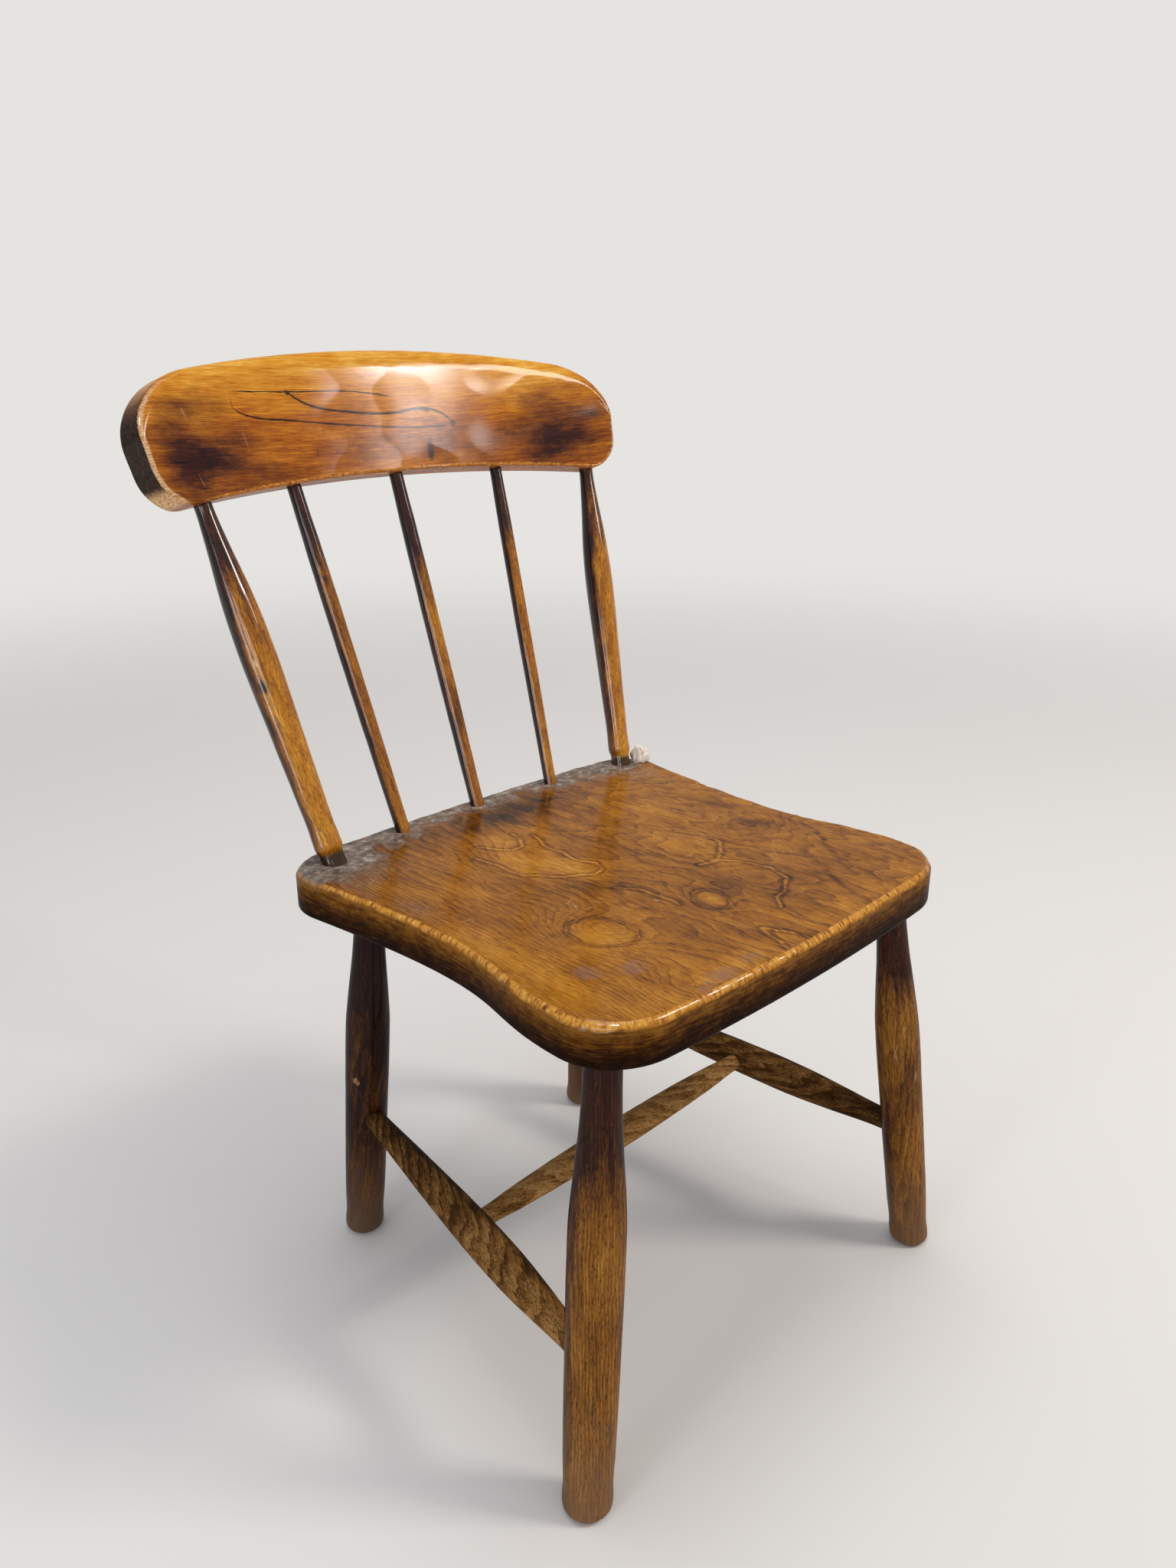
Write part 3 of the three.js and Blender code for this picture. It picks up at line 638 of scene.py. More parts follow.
def elm_under_old_varnish():
    """Plain-sawn elm, hand planed, under brown oil varnish rubbed by a century of use.

    Elm is ring-porous: each ring begins with a band of open pores that shows as short dark dashes,
    and ends in a smooth dense line. The varnish gives a soft gloss, gold where it is thin.
    """
    material, add = begin("elm under old varnish")
    place = add("TexCoord").outputs["Object"]
    rings, golden = (add("Attribute", attribute_name=field).outputs["Fac"]
                     for field in ("rings", "tone"))
    grey, bloom, arris = read(add, "film")
    loop, streak, level = read(add, "drawn")
    up = add("SeparateXYZ", {"Vector": add("NewGeometry").outputs["Normal"]}).outputs[2]
    flat = add("MapRange", {"Value": up, "From Min": 0.35, "From Max": 0.85})

    wobble = stretched(add, place, (4, 22, 4), 3, 0.6)
    count = add("Math", {0: wobble, 1: 0.55, 2: rings}, operation="MULTIPLY_ADD")
    ring = add("Math", {0: count}, operation="FRACT")
    dense = add("ValToRGB", {0: ring}, ramp=[
        (0.0, "#6a6a6a"), (0.07, "#e4e4e4"), (0.2, "#bcbcbc"), (0.6, "#b4b4b4"), (0.84, "#7a7a7a"),
        (0.95, "#0a0a0a")])
    # Pores are 0.3 mm wide and up to 8 mm long, and there are most beside a ring's dark line.
    pores = stretched(add, place, (0.5, 8, 0.5), 2.5, 0.6)
    open_pore = add("MapRange", {"Value": pores, "From Min": 0.54, "From Max": 0.64})
    early = add("MapRange", {"Value": ring, "From Min": 0.45, "From Max": 1.0, "To Min": 0.4})
    open_pore = add("Math", {0: open_pore, 1: early}, operation="MULTIPLY")
    fibre = stretched(add, place, (0.55, 11, 0.55), 3, 0.75)
    ribbon = stretched(add, place, (3, 44, 8), 3, 0.6)
    cloud = stretched(add, place, (30, 38, 30), 3, 0.5)
    mottle = stretched(add, place, (6, 9, 6), 5, 0.7)
    # A drawn loop is a golden rim with a dark line outside it.
    away = weigh(add, -2.0, (mottle, 4.0), (loop, 1.0))
    rim = add("MapRange", {"Value": away, "From Min": 1.7, "From Max": 0.3})
    shadow = add("MapRange", {"Value": away, "From Min": 4.6, "From Max": 1.4})
    shadow = add("Math", {0: shadow, 1: rim}, operation="SUBTRACT")
    light = weigh(
        add, -0.46, (golden, 0.21), (dense, 0.24), (fibre, 0.95), (ribbon, 0.22), (cloud, 0.2),
        (mottle, 0.26), (open_pore, -0.24), (rim, 0.19), (shadow, -0.24), (streak, -0.24))
    wood = add("ValToRGB", {0: light}, ramp=[
        (0.0, "#2b1407"), (0.2, "#55300e"), (0.4, "#855015"), (0.56, "#a5691b"), (0.75, "#c28629"),
        (1.0, "#dfaa4a")])

    # Sides and underside: darker, with streaks along the edge, and nearly black at the lower arris.
    along_edge = stretched(add, place, (16, 16, 1.3), 5, 0.65)
    dark = weigh(add, -0.28, (level, 0.6), (along_edge, 0.75), (mottle, 0.5))
    shade = add("ValToRGB", {0: dark}, ramp=[
        (0.3, "#0c0401"), (0.45, "#1f0d03"), (0.58, "#371c06"), (0.72, "#5a350a"), (0.88, "#86561a")])

    # Rubbed arris: varnish gone to honey-coloured wood, crossed by dark checks.
    edge_place = add("Attribute", attribute_name="edge").outputs["Vector"]
    nibble = stretched(add, edge_place, (12, 5, 30), 4, 0.6)
    rub = weigh(add, -0.42, (nibble, 0.8), (arris, 1.0))
    rub = add("MapRange", {"Value": rub, "From Min": 0.22, "From Max": 0.8})
    honey = add("ValToRGB", {0: stretched(add, edge_place, (2.3, 9, 30), 5, 0.72)}, ramp=[
        (0.32, "#3a1c07"), (0.4, "#9a5c15"), (0.49, "#c88628"), (0.6, "#dfa444"), (0.74, "#f0c474")])

    # Bloom and dust.
    veil = stretched(add, place, (5, 5, 5), 5, 0.7)
    veil = add("Math", {0: veil, 1: 1.5, 2: -0.82}, operation="MULTIPLY_ADD")
    bloomed = add("Math", {0: veil, 1: bloom})
    bloomed = add("MapRange", {"Value": bloomed, "From Min": 0.25, "From Max": 0.85, "To Max": 0.5})
    dusty = add("Math", {0: veil, 1: grey})
    dusty = add("MapRange", {"Value": dusty, "From Min": 0.12, "From Max": 0.9, "To Max": 0.86})
    dusty = add("Math", {0: dusty, 1: flat}, operation="MULTIPLY")
    grime = add("ValToRGB", {0: stretched(add, place, (7, 6, 7), 5, 0.68)}, ramp=[
        (0.3, "#453830"), (0.46, "#71655b"), (0.58, "#94897e"), (0.7, "#c9c0b4")])

    # Scratches and a chip that go through the varnish.
    marks = strongest(add, place, (
        ((-141, 90), (0.5, 9), 8), ((-143, 90), (0.4, 10), -62), ((-99, 80), (0.35, 18), 3),
        ((-119, 62), (0.35, 11), 14), ((-134, 2), (0.4, 8), 78), ((-90, 13), (0.35, 15), 84),
        ((-73, -31), (0.6, 9), -28), ((-66, -38), (0.55, 8), 75), ((-58, -34), (0.6, 8), 30),
        ((-70, -22), (0.5, 8), -70), ((-29, -60), (1.6, 3.4), 15), ((-60, -60), (0.3, 22), 25),
        ((40, -40), (0.3, 26), -18), ((88, -66), (0.35, 17), -40), ((-20, -120), (0.3, 20), 10),
        ((131, -72), (0.5, 12), -30), ((96, -74), (0.6, 3), 10), ((150, -120), (0.4, 13), 5)),
        base=ORIGIN / MM + [0, 0, SEAT_TOP], through=40)
    marks = add("MapRange", {"Value": marks, "From Min": 0.15, "From Max": 0.6, "To Max": 0.6})

    colour = shade
    for extent, above in ((flat, wood), (rub, honey), (bloomed, linear("#8a6a5e")), (dusty, grime),
                          (marks, linear("#c99f6c"))):
        colour = add("Mix", {"Factor": extent, "A": colour, "B": above}, data_type="RGBA")
    dull = add("Math", {0: dusty, 1: 0.3, 2: 0.34}, operation="MULTIPLY_ADD")
    relief = weigh(add, fibre, (open_pore, -0.8), (dense, 0.5), (marks, -0.8))
    bump = add("Bump", {"Height": relief, "Distance": 0.07 * MM, "Strength": 0.8})
    # The varnish is thick on the top, polished at the arris, and nearly gone from the sides.
    film = add("MapRange", {"Value": up, "From Min": 0.1, "From Max": 0.6, "To Min": 0.06,
                            "To Max": 0.28})
    film = add("Math", {0: arris, 1: 0.5, 2: film}, operation="MULTIPLY_ADD")
    wood_surface(add, colour, dull, bump, gloss=1.05, coat=film, coat_roughness=0.15)
    return material


def beech_turning_finish(name, coated, bare, varnish, dark_end, matt, gloss, coat, coat_roughness,
                         ring_width, ring_depth, pale, foot_wear):
    """Beech turned on a lathe and varnished.

    Beech has thin close rings and fine rays that show as short dark flecks. Turning lays the rings
    open as long lines that close into flames. Thick varnish is nearly black, thin varnish is amber.
    dark_end is where along the stick the varnish begins to thicken, where it is thickest, and by
    how much.
    """
    material, add = begin(name)
    place = add("Attribute", attribute_name="blank").outputs["Vector"]
    thick, share, mark = read(add, "coat")
    flat = add("VectorMath", {0: place, 1: (1, 1, 0.05)}, operation="MULTIPLY")
    reach = add("VectorMath", {0: flat}, operation="LENGTH").outputs["Value"]
    wobble = stretched(add, place, (9, 9, 45), 4, 0.55)
    count = weigh(add, 0.0, (reach, 1 / (ring_width * MM)), (wobble, 2.4))
    ring = add("Math", {0: count}, operation="FRACT")
    dense = add("ValToRGB", {0: ring}, ramp=[
        (0.0, "#808080"), (0.1, "#d0d0d0"), (0.55, "#a8a8a8"), (0.82, "#505050"), (0.94, "#101010")])
    fibre = stretched(add, place, (0.45, 0.45, 13), 4, 0.7)
    flecks = stretched(add, place, (0.6, 0.6, 3.4), 2, 0.5)
    fleck = add("MapRange", {"Value": flecks, "From Min": 0.56, "From Max": 0.64})
    ribbon = stretched(add, place, (3.4, 3.4, 34), 4, 0.6)
    worn = stretched(add, place, (7, 7, 30), 5, 0.75)
    body = weigh(add, -0.305 - 0.62 * ring_depth, (dense, ring_depth), (fibre, 1.15), (fleck, -0.26),
                 (ribbon, 0.5), (thick, -0.1))
    wood = add("ValToRGB", {0: body}, ramp=bare)
    skinned = add("ValToRGB", {0: body}, ramp=varnish)
    top = add("MapRange", {"Value": share, "From Min": dark_end[0], "From Max": dark_end[1]},
              interpolation_type="SMOOTHSTEP")
    cover = weigh(add, coated, (thick, 0.22), (worn, -1.5), (top, dark_end[2]))
    cover = add("MapRange", {"Value": cover, "From Min": -0.15, "From Max": 0.35})
    # Small knocks that show pale wood, and knots.
    knocks = stretched(add, place, (2.6, 2.6, 7), 5, 0.72)
    knock = add("Math", {0: mark, 1: -0.4, 2: knocks}, operation="MULTIPLY_ADD")
    knock = add("MapRange", {"Value": knock, "From Min": 0.69, "From Max": 0.735, "To Max": 0.7})
    knot = add("MapRange", {"Value": weigh(add, -0.4, (knocks, 0.8), (mark, 1.0)), "From Min": 0.2,
                            "From Max": 0.7, "To Max": 0.92})
    # Ends at the floor are rubbed pale and dry.
    foot = add("Math", {0: worn, 1: 0.3, 2: share}, operation="MULTIPLY_ADD")
    foot = add("MapRange", {"Value": foot, "From Min": 0.42, "From Max": 0.12, "To Max": foot_wear})
    colour = wood
    for extent, above in ((cover, skinned), (knock, linear(pale)), (knot, linear("#170a08")),
                          (foot, linear("#80644d"))):
        colour = add("Mix", {"Factor": extent, "A": colour, "B": above}, data_type="RGBA")
    dull = weigh(add, matt, (cover, -0.16), (worn, 0.2))
    relief = weigh(add, dense, (fibre, 1.2), (fleck, -0.6), (knock, -0.9))
    bump = add("Bump", {"Height": relief, "Distance": 0.14 * MM, "Strength": 0.8})
    wood_surface(add, colour, dull, bump, gloss, coat, coat_roughness)
    return material


# Shakes of the rail: corners (along, up) in millimetres, where each begins and ends, and its width.
SHAKES = (
    (((-84, 58.5), (-67, 49), (-35, 44), (-2, 42), (27, 44.5), (40, 42.5), (54, 33.5)), -86, 55, 0.62),
    (((-131, 58.6), (-84, 58.6), (-31, 58.6), (2, 54.5)), -128, 4, 0.3),
    (((-132, 48), (-124, 43.2), (-84, 38.8), (-38, 34.8), (13, 31.2), (53, 30.8)), -133, 50, 0.4),
)
# The curve nodes that draw them cover this run of the board, and heights from 0 to SHAKE_HEIGHT.
SHAKE_RUN = (-140, 60)
SHAKE_HEIGHT = 100


def shakes(add, along, up, fibre):
    """Cracks in the rail's face: each is a thin dark line whose height follows a curve along it."""
    run_start, run_end = SHAKE_RUN
    cracks = None
    for corners, first, final, width in SHAKES:
        run = add("MapRange", {"Value": along, "From Min": run_start * MM, "From Max": run_end * MM})
        curve = add("FloatCurve", {"Value": run})
        points = curve.mapping.curves[0].points
        while len(points) < len(corners):
            points.new(0.5, 0.5)
        for point, (across, height) in zip(points, corners):
            point.location = ((across - run_start) / (run_end - run_start), height / SHAKE_HEIGHT)
        curve.mapping.update()
        # The fibres make the line jagged.
        gap = weigh(add, 0.9 * MM, (curve, -SHAKE_HEIGHT * MM), (fibre, -1.8 * MM), (up, 1.0))
        gap = add("Math", {0: gap}, operation="ABSOLUTE")
        line = add("MapRange", {
            "Value": gap, "From Min": width * 2.2 * MM, "From Max": width * 0.5 * MM})
        for limit, way in ((first, 1), (final, -1)):
            inside = add("MapRange", {
                "Value": along, "From Min": (limit - way) * MM, "From Max": (limit + 5 * way) * MM})
            line = add("Math", {0: line, 1: inside}, operation="MULTIPLY")
        cracks = add("Math", {0: cracks, 1: line}, operation="MAXIMUM") if cracks else line
    return cracks


def rail_board_finish():
    """Steam-bent hardwood board, scraped smooth, under amber varnish.

    Straight grain runs along the board. Hands have stained both ends dark, the end arrises are
    rubbed to bare wood, and old shakes run across the face.
    """
    material, add = begin("bent board under amber varnish")
    place = add("Attribute", attribute_name="board").outputs["Vector"]
    along, up, through = read(add, "board")
    stain, rub, ends = read(add, "wear")
    amber_edge = add("Attribute", attribute_name="lower_arris").outputs["Fac"]
    streak = stretched(add, place, (46, 1.6, 5), 4, 0.62)
    fibre = stretched(add, place, (12, 0.6, 1.4), 4, 0.6)
    ribbon = stretched(add, place, (90, 9, 9), 3, 0.55)
    cloud = stretched(add, place, (34, 22, 22), 4, 0.6)
    mottle = stretched(add, place, (15, 6, 6), 5, 0.7)
    pits = stretched(add, place, (3, 2.4, 0.9), 4, 0.7)
    height = add("MapRange", {"Value": up, "From Min": 25 * MM, "From Max": 78 * MM})
    face = add("MapRange", {"Value": through, "From Min": -9 * MM, "From Max": -10.3 * MM})
    body = weigh(add, -0.745, (streak, 0.6), (fibre, 0.85), (ribbon, 0.5), (cloud, 0.4), (height, 0.4))
    amber = add("ValToRGB", {0: body}, ramp=[
        (0.05, "#4a1c04"), (0.28, "#823f09"), (0.46, "#a65a10"), (0.64, "#c67a18"), (0.85, "#dd9a2e"),
        (1.0, "#edbb58")])
    purple = add("ValToRGB", {0: body}, ramp=[
        (0.1, "#160707"), (0.4, "#321310"), (0.62, "#522214"), (0.9, "#7e3c12")])
    soak = add("MapRange", {"Value": weigh(add, -0.55, (mottle, 1.1), (stain, 1.0)), "From Min": 0.1,
                            "From Max": 0.95})

    nicks = strongest(add, place, (((-72.5, 16), (0.4, 5), -15), ((-131.5, 51), (0.5, 4.5), 5),
                                   ((-62, 33), (0.4, 3), 20), ((154, -8), (5, 2.2), 10)))
    cracks = add("Math", {0: shakes(add, along, up, fibre), 1: nicks}, operation="MAXIMUM")
    cracks = add("Math", {0: cracks, 1: face}, operation="MULTIPLY")
    # Ink-dark spots in the stain and a thumbed smudge low on the face.
    spots = strongest(add, place, (((-166, 18), (5, 5.5), 20), ((-163, 11.5), (4.5, 6), -20),
                                   ((-84, 58), (3.2, 2.6), 0), ((31, 44), (7, 2.4), -25),
                                   ((54, 32), (4.5, 4.5), 0), ((29, 14), (4.5, 13), -8)))
    spots = add("Math", {0: mottle, 1: 0.8, 2: spots}, operation="MULTIPLY_ADD")
    spots = add("MapRange", {"Value": spots, "From Min": 0.55, "From Max": 0.95, "To Max": 0.85})
    spots = add("Math", {0: spots, 1: face}, operation="MULTIPLY")
    # Pale scratches.
    marks = strongest(add, place, (((-174, 1), (0.9, 7.5), 12), ((-129, 26), (0.8, 15), 3),
                                   ((-171, 44), (1.6, 9), 10), ((-113, 34), (0.35, 9), 8),
                                   ((70, 30), (0.4, 14), 30), ((-40, 24), (0.3, 10), -25)))
    marks = add("Math", {0: marks, 1: fibre}, operation="MULTIPLY")
    marks = add("MapRange", {"Value": marks, "From Min": 0.12, "From Max": 0.5, "To Max": 0.5})
    marks = add("Math", {0: marks, 1: face}, operation="MULTIPLY")

    # Ends: dark glossy end grain, with a rubbed cream line where the face begins.
    black = add("ValToRGB", {0: pits}, ramp=[
        (0.35, "#0e0704"), (0.52, "#2b1a0f"), (0.66, "#4d3823"), (0.8, "#7a6146")])
    rubbed = add("MapRange", {"Value": weigh(add, -0.45, (pits, 0.9), (rub, 1.0)), "From Min": 0.25,
                              "From Max": 0.7})
    cream = add("ValToRGB", {0: fibre}, ramp=[(0.3, "#9a6427"), (0.45, "#c8935a"), (0.62, "#ecc9a0")])
    # The lower arris is worn to clear amber.
    under = add("MapRange", {"Value": weigh(add, -0.45, (pits, 0.9), (amber_edge, 1.0)),
                             "From Min": 0.2, "From Max": 0.8})
    honey = add("ValToRGB", {0: pits}, ramp=[(0.34, "#7a3c0c"), (0.5, "#c27a2c"), (0.7, "#e2a75c")])

    colour = amber
    for extent, above in ((soak, purple), (cracks, linear("#1c0c05")), (spots, linear("#20100d")),
                          (marks, linear("#b98d6c")), (ends, black), (rubbed, cream), (under, honey)):
        colour = add("Mix", {"Factor": extent, "A": colour, "B": above}, data_type="RGBA")
    relief = weigh(add, streak, (fibre, 0.9), (cracks, -3.0))
    bump = add("Bump", {"Height": relief, "Distance": 0.14 * MM, "Strength": 0.8})
    dull = add("Math", {0: cloud, 1: 0.25, 2: 0.3}, operation="MULTIPLY_ADD")
    wood_surface(add, colour, dull, bump, gloss=1.05, coat=0.42, coat_roughness=0.1)
    return material


def dried_filler():
    """Dried filler: a matt, chalky cream paste with dirt in its hollows."""
    material, add = begin("dried cream filler")
    lumps = stretched(add, add("TexCoord").outputs["Object"], (3, 3, 3), 4, 0.6)
    colour = add("ValToRGB", {0: lumps}, ramp=[(0.3, "#a4937b"), (0.43, "#dcd2bf"), (0.6, "#f3ecdf")])
    add("OutputMaterial", {"Surface": add("BsdfPrincipled", {"Base Color": colour, "Roughness": 0.8})})
    return material


TURNED = dict(
    coated=0.6, dark_end=(0.6, 0.98, 1.2), matt=0.44, gloss=1.06, coat=0.25, coat_roughness=0.14,
    ring_width=2.1, ring_depth=0.3, pale="#a98258", foot_wear=0.6,
    bare=[(0.1, "#3f220a"), (0.32, "#6f4412"), (0.5, "#905c1c"), (0.7, "#ad7a30"), (0.92, "#cfa35e")],
    varnish=[(0.1, "#170806"), (0.4, "#34170b"), (0.6, "#542b12"), (0.85, "#805020")])
SPINDLE = dict(
    coated=0.34, dark_end=(0.48, 1.0, 0.85), matt=0.34, gloss=1.06, coat=0.9, coat_roughness=0.11,
    ring_width=2.2, ring_depth=0.2, pale="#d9b483", foot_wear=0.0,
    bare=[(0.1, "#6e3706"), (0.32, "#985a0b"), (0.5, "#be7a14"), (0.7, "#dea02c"), (0.92, "#f2c663")],
    varnish=[(0.1, "#1c0906"), (0.4, "#401b09"), (0.6, "#6f3a0d"), (0.85, "#a5671c")])
STRETCHER = dict(
    coated=0.3, dark_end=(1.5, 2.0, 0.0), matt=0.62, gloss=1.1, coat=0.0, coat_roughness=0.3,
    ring_width=2.6, ring_depth=0.4, pale="#bfa274", foot_wear=0.0,
    bare=[(0.1, "#40270f"), (0.32, "#795329"), (0.5, "#a07644"), (0.7, "#b9905a"), (0.92, "#d3b380")],
    varnish=[(0.1, "#1a0e06"), (0.4, "#3a2310"), (0.6, "#5c3b1c"), (0.85, "#866035")])


def camera():
    """The photograph's view, by its place and its three directions in the seat's own frame."""
    lens = bpy.data.cameras.new("view of the chair")
    focal_pixels, long_side_pixels, lens.sensor_width = 1586.45, 2048, 36
    lens.lens = focal_pixels / long_side_pixels * lens.sensor_width
    lens.clip_end = 50
    eye = bpy.data.objects.new("view of the chair", lens)
    right = (0.70703135, -0.70717544, 0.0030937)
    top = (0.24004152, 0.24410297, 0.93957108)
    ahead = (0.66519677, 0.66356359, -0.34233992)
    place = np.array([-560.337, -527.513, 665.693]) * MM + ORIGIN
    columns = np.array([right, top, [-v for v in ahead], place]).T
    eye.matrix_world = Matrix([*columns.tolist(), [0, 0, 0, 1]])
    bpy.context.scene.collection.objects.link(eye)
    bpy.context.scene.camera = eye


def floor():
    """A pale floor that rises behind the chair: z = bend * (1 - cos a) beyond its flat part."""
    half_width, start, flat_end, bend, top = 6.0, -5.0, 3.2, 1.6, 6.0
    angle = np.linspace(0, 1, 60)[1:] * np.pi / 2
    across = np.linspace(-half_width, half_width, 13)
    run = np.concatenate([
        np.linspace(start, flat_end, 30), flat_end + bend * np.sin(angle), [flat_end + bend]])
    rise = np.concatenate([np.zeros(30), bend * (1 - np.cos(angle)), [top]])
    grid = np.stack(np.broadcast_arrays(across[None, :], run[:, None], rise[:, None]), -1)
    turn = np.radians(-45)
    x = grid[..., 0] * np.cos(turn) - grid[..., 1] * np.sin(turn)
    y = grid[..., 0] * np.sin(turn) + grid[..., 1] * np.cos(turn)
    points = np.stack([x, y, grid[..., 2] - 0.0002], -1).reshape(-1, 3)
    rows, columns = grid.shape[:2]
    here = (np.arange(rows - 1)[:, None] * columns + np.arange(columns - 1)).ravel()
    faces = np.stack([here, here + 1, here + columns + 1, here + columns], -1).tolist()
    mesh = bpy.data.meshes.new("pale floor")
    mesh.from_pydata(points, [], faces)
    mesh.shade_smooth()
    material, add = begin("matt pale paper")
    paper = add("BsdfPrincipled", {
        "Base Color": linear("#efedea"), "Roughness": 0.9, "Specular IOR Level": 0.0})
    # Beyond the shadow the paper shows its own pale colour, evenly lit.
    place = add("TexCoord").outputs["Object"]
    away = add("VectorMath", {0: place}, operation="LENGTH").outputs["Value"]
    far = add("MapRange", {"Value": away, "From Min": 0.9, "From Max": 3.4},
              interpolation_type="SMOOTHERSTEP")
    ray = add("LightPath").outputs
    seen = add("Math", {0: ray["Is Camera Ray"], 1: ray["Is Glossy Ray"]}, operation="MAXIMUM")
    seen = add("Math", {0: seen, 1: ray["Is Transmission Ray"]}, operation="MAXIMUM")
    seen = add("Math", {0: seen, 1: far}, operation="MULTIPLY")
    even = add("Emission", {"Color": linear("#e6e4e1"), "Strength": 1.0})
    add("OutputMaterial", {"Surface": add("MixShader", {0: seen, 1: paper, 2: even})})
    mesh.materials.append(material)
    ground = bpy.data.objects.new("pale floor", mesh)
    bpy.context.scene.collection.objects.link(ground)


def soft_box(name, place, size, power, tint, shine_only):
    """A panel lamp that faces the middle of the chair. It may light the varnish's shine only."""
    light = bpy.data.lights.new(name, "AREA")
    light.shape = "RECTANGLE"
    light.size, light.size_y = size
    light.energy = power
    light.color = linear(tint)[:3]
    panel = bpy.data.objects.new(name, light)
    panel.visible_diffuse = not shine_only
    chair_middle = np.array([0, 0, 0.4])
    back = np.array(place) - chair_middle
    back = back / np.linalg.norm(back)
    side = np.cross([0, 0, 1.0], back)
    side = side / np.linalg.norm(side)
    columns = np.array([side, np.cross(back, side), back, place]).T
    panel.matrix_world = Matrix([*columns.tolist(), [0, 0, 0, 1]])
    bpy.context.scene.collection.objects.link(panel)


# Name, place, width and height, watts, tint, and whether it lights the varnish's shine only.
LAMPS = (
    ("key from the right", (1.35, -1.76, 2.25), (0.6, 0.6), 29, "#fff6ea", False),
    ("small lamp low on the right", (1.24, -1.3, 1.655), (0.15, 0.09), 2.6, "#e9f1ff", True),
    ("dim strip below it", (1.25, -1.35, 1.53), (0.15, 0.28), 2.4, "#fff8f2", True),
    ("window from the left", (-1.9, -0.3, 0.5), (0.4, 0.9), 7.5, "#e8f0ff", False),
    ("tall window behind the view", (-1.75, -1.2, 0.86), (0.8, 0.6), 7.5, "#fff8ee", True),
    ("lamp high behind the view", (-0.75, -0.74, 2.35), (0.45, 0.45), 28, "#ffffff", True),
    ("light from above", (0.1, 0.1, 2.7), (1.2, 1.2), 16, "#ffffff", False),
)


def studio():
    """Plain soft light: a large key from the right, panels above and to the left, and an even sky.

    Four more lamps light the varnish's shine only, so that its highlights lie along the rail, the
    sticks and the legs without more light on the wood.
    """
    world = bpy.data.worlds.new("even sky")
    bpy.context.scene.world = world
    world.use_nodes = True
    world.node_tree.nodes.clear()
    sky = put(world.node_tree, "Background", {"Color": linear("#fbfbff"), "Strength": 0.5})
    put(world.node_tree, "OutputWorld", {"Surface": sky})
    for lamp in LAMPS:
        soft_box(*lamp)
    bpy.context.scene.view_settings.view_transform = "Standard"


def build_filler(material):
    """Old filler squeezed out behind the right post: a lumpy ball, flat where it sits.

    A point is middle + radius * (cos u cos v, cos u sin v, sin u), raised a little left of its middle.
    """
    rise = np.linspace(-0.42, 0.49, 24)[:, None] * np.pi
    turn = np.linspace(0, 2 * np.pi, 40, endpoint=False)[None]
    way = np.stack([
        np.cos(rise) * np.cos(turn), np.cos(rise) * np.sin(turn), np.sin(rise) + 0 * turn], -1)
    lumps = 1 + 0.16 * drift(way, 0.9, 71) + 0.06 * drift(way, 0.35, 72)
    heap = way * np.array([9.5, 6.5, 9.0]) * lumps[..., None]
    lump = 5.5 * hill(heap[..., 0], heap[..., 1], (-4, 0), (5.5, 6))
    heap[..., 2] += lump * np.maximum(way[..., 2], 0)
    heap[..., 2] = np.maximum(heap[..., 2], -1.2)
    points = (heap + [165.5, 134.0, SEAT_TOP + 1.1]) * MM + ORIGIN
    skin("old_filler", points, {}, material)


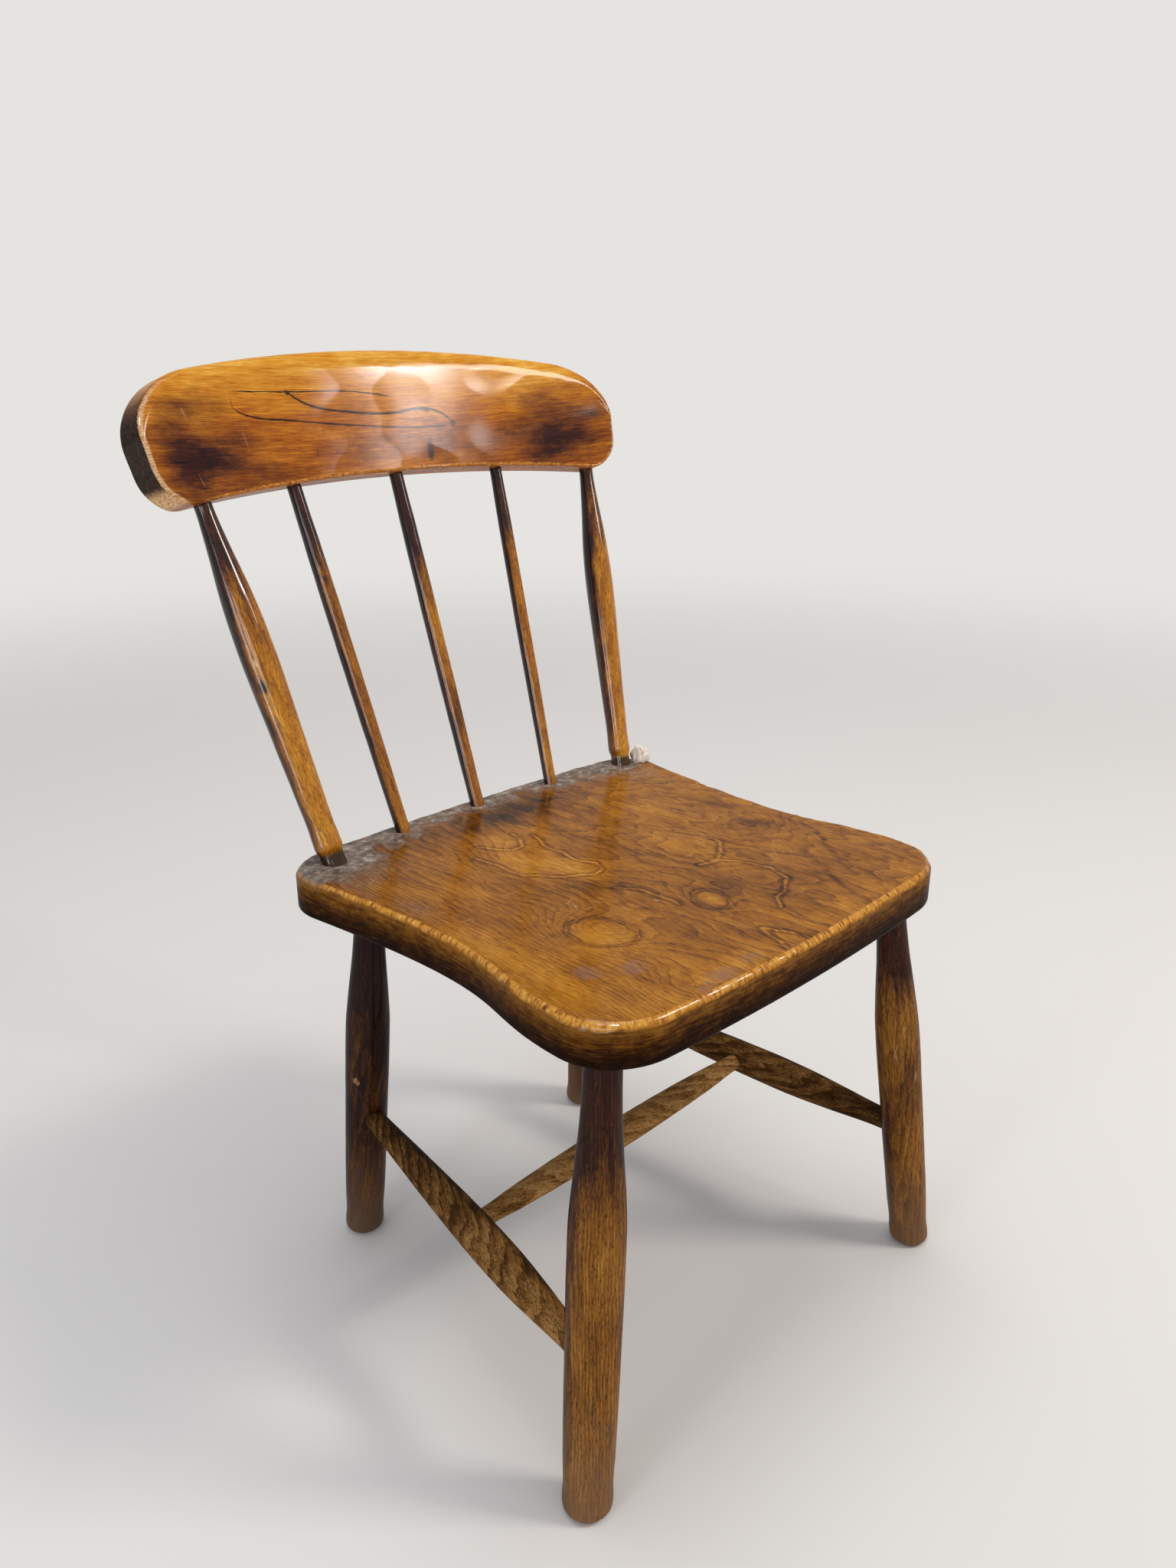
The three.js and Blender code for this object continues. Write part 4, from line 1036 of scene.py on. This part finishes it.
# Turned pieces: name, node, place in the blank (x, y, z in mm and slope), turn in degrees, thickness
# of the varnish at the low and at the high end, and marks.
TURNINGS = (
    ("front_left_leg", "leg_front_left", (34, 12, 0, 0.015), 40, (-0.3, 0.8), ()),
    ("front_right_leg", "leg_front_right", (40, -20, 900, 0.02), 150, (0.1, 0.1),
     ((0.55, -20, 9, 2, -0.8), (0.48, 30, 8, 1.6, -0.7))),
    ("back_left_leg", "leg_back_left", (28, 30, 1700, 0.02), 240, (1.6, 2.4),
     ((0.46, -20, 5, 2.4, -0.9),)),
    ("back_right_leg", "leg_back_right", (52, 8, 2600, 0.01), 10, (0.6, 1.6), ()),
    ("left_stretcher", "stretcher_left", (10, 8, 3400, 0.34), 90, (-0.6, 2.6),
     ((0.05, 0, 12, 90, 0.5),)),
    ("right_stretcher", "stretcher_right", (24, 14, 4100, 0.2), 0, (2.6, 0.6), ()),
    ("cross_stretcher", "stretcher_cross", (12, -16, 4800, 0.3), 200, (-0.8, -0.4), ()),
    ("left_back_post", "post_left", (30, 10, 5500, 0.03), 60, (-0.8, 1.2),
     ((0.47, -6, 5, 3.6, 1.0), (0.53, -4, 3, 2, -0.9), (0.0, 0, 8, 90, 1.1))),
    ("left_stick", "stick_left", (42, 6, 6300, 0.05), 0, (0.9, 1.6), ()),
    ("middle_stick", "stick_middle", (24, 20, 7100, 0.04), 120, (0.8, 1.6), ()),
    ("right_stick", "stick_right", (50, -8, 7900, 0.04), 30, (0.5, 1.2), ()),
    ("right_back_post", "post_right", (36, 18, 8700, 0.03), 210, (-0.9, 0.6), ((0.0, 0, 6, 90, 1.0),)),
)

camera()
floor()
studio()
build_seat(elm_under_old_varnish())
build_rail(rail_board_finish())
build_filler(dried_filler())

# Finish, slot, columns, which way the side with painted shade faces times its depth, and where it
# begins.
legs = (beech_turning_finish("turned beech under dark varnish", **TURNED), "turned_beech", 72,
        (-0.8, 0.9, 0), 0.45)
spindles = (beech_turning_finish("turned beech under amber varnish", **SPINDLE), "turned_beech", 56,
            (-2.3, 2.5, 0), 0.0)
rungs = (beech_turning_finish("turned beech with flaking varnish", **STRETCHER), "stretcher_beech", 56,
         (2.6, 0.9, 0.4), 0.2)
KINDS = {"leg": legs, "stretcher": rungs, "post": spindles, "stick": spindles}
for seed, (name, node, blank, turn, layer, marks) in enumerate(TURNINGS, 1):
    turning(name, node, *KINDS[node.split("_")[0]], seed, blank, turn, layer, marks)
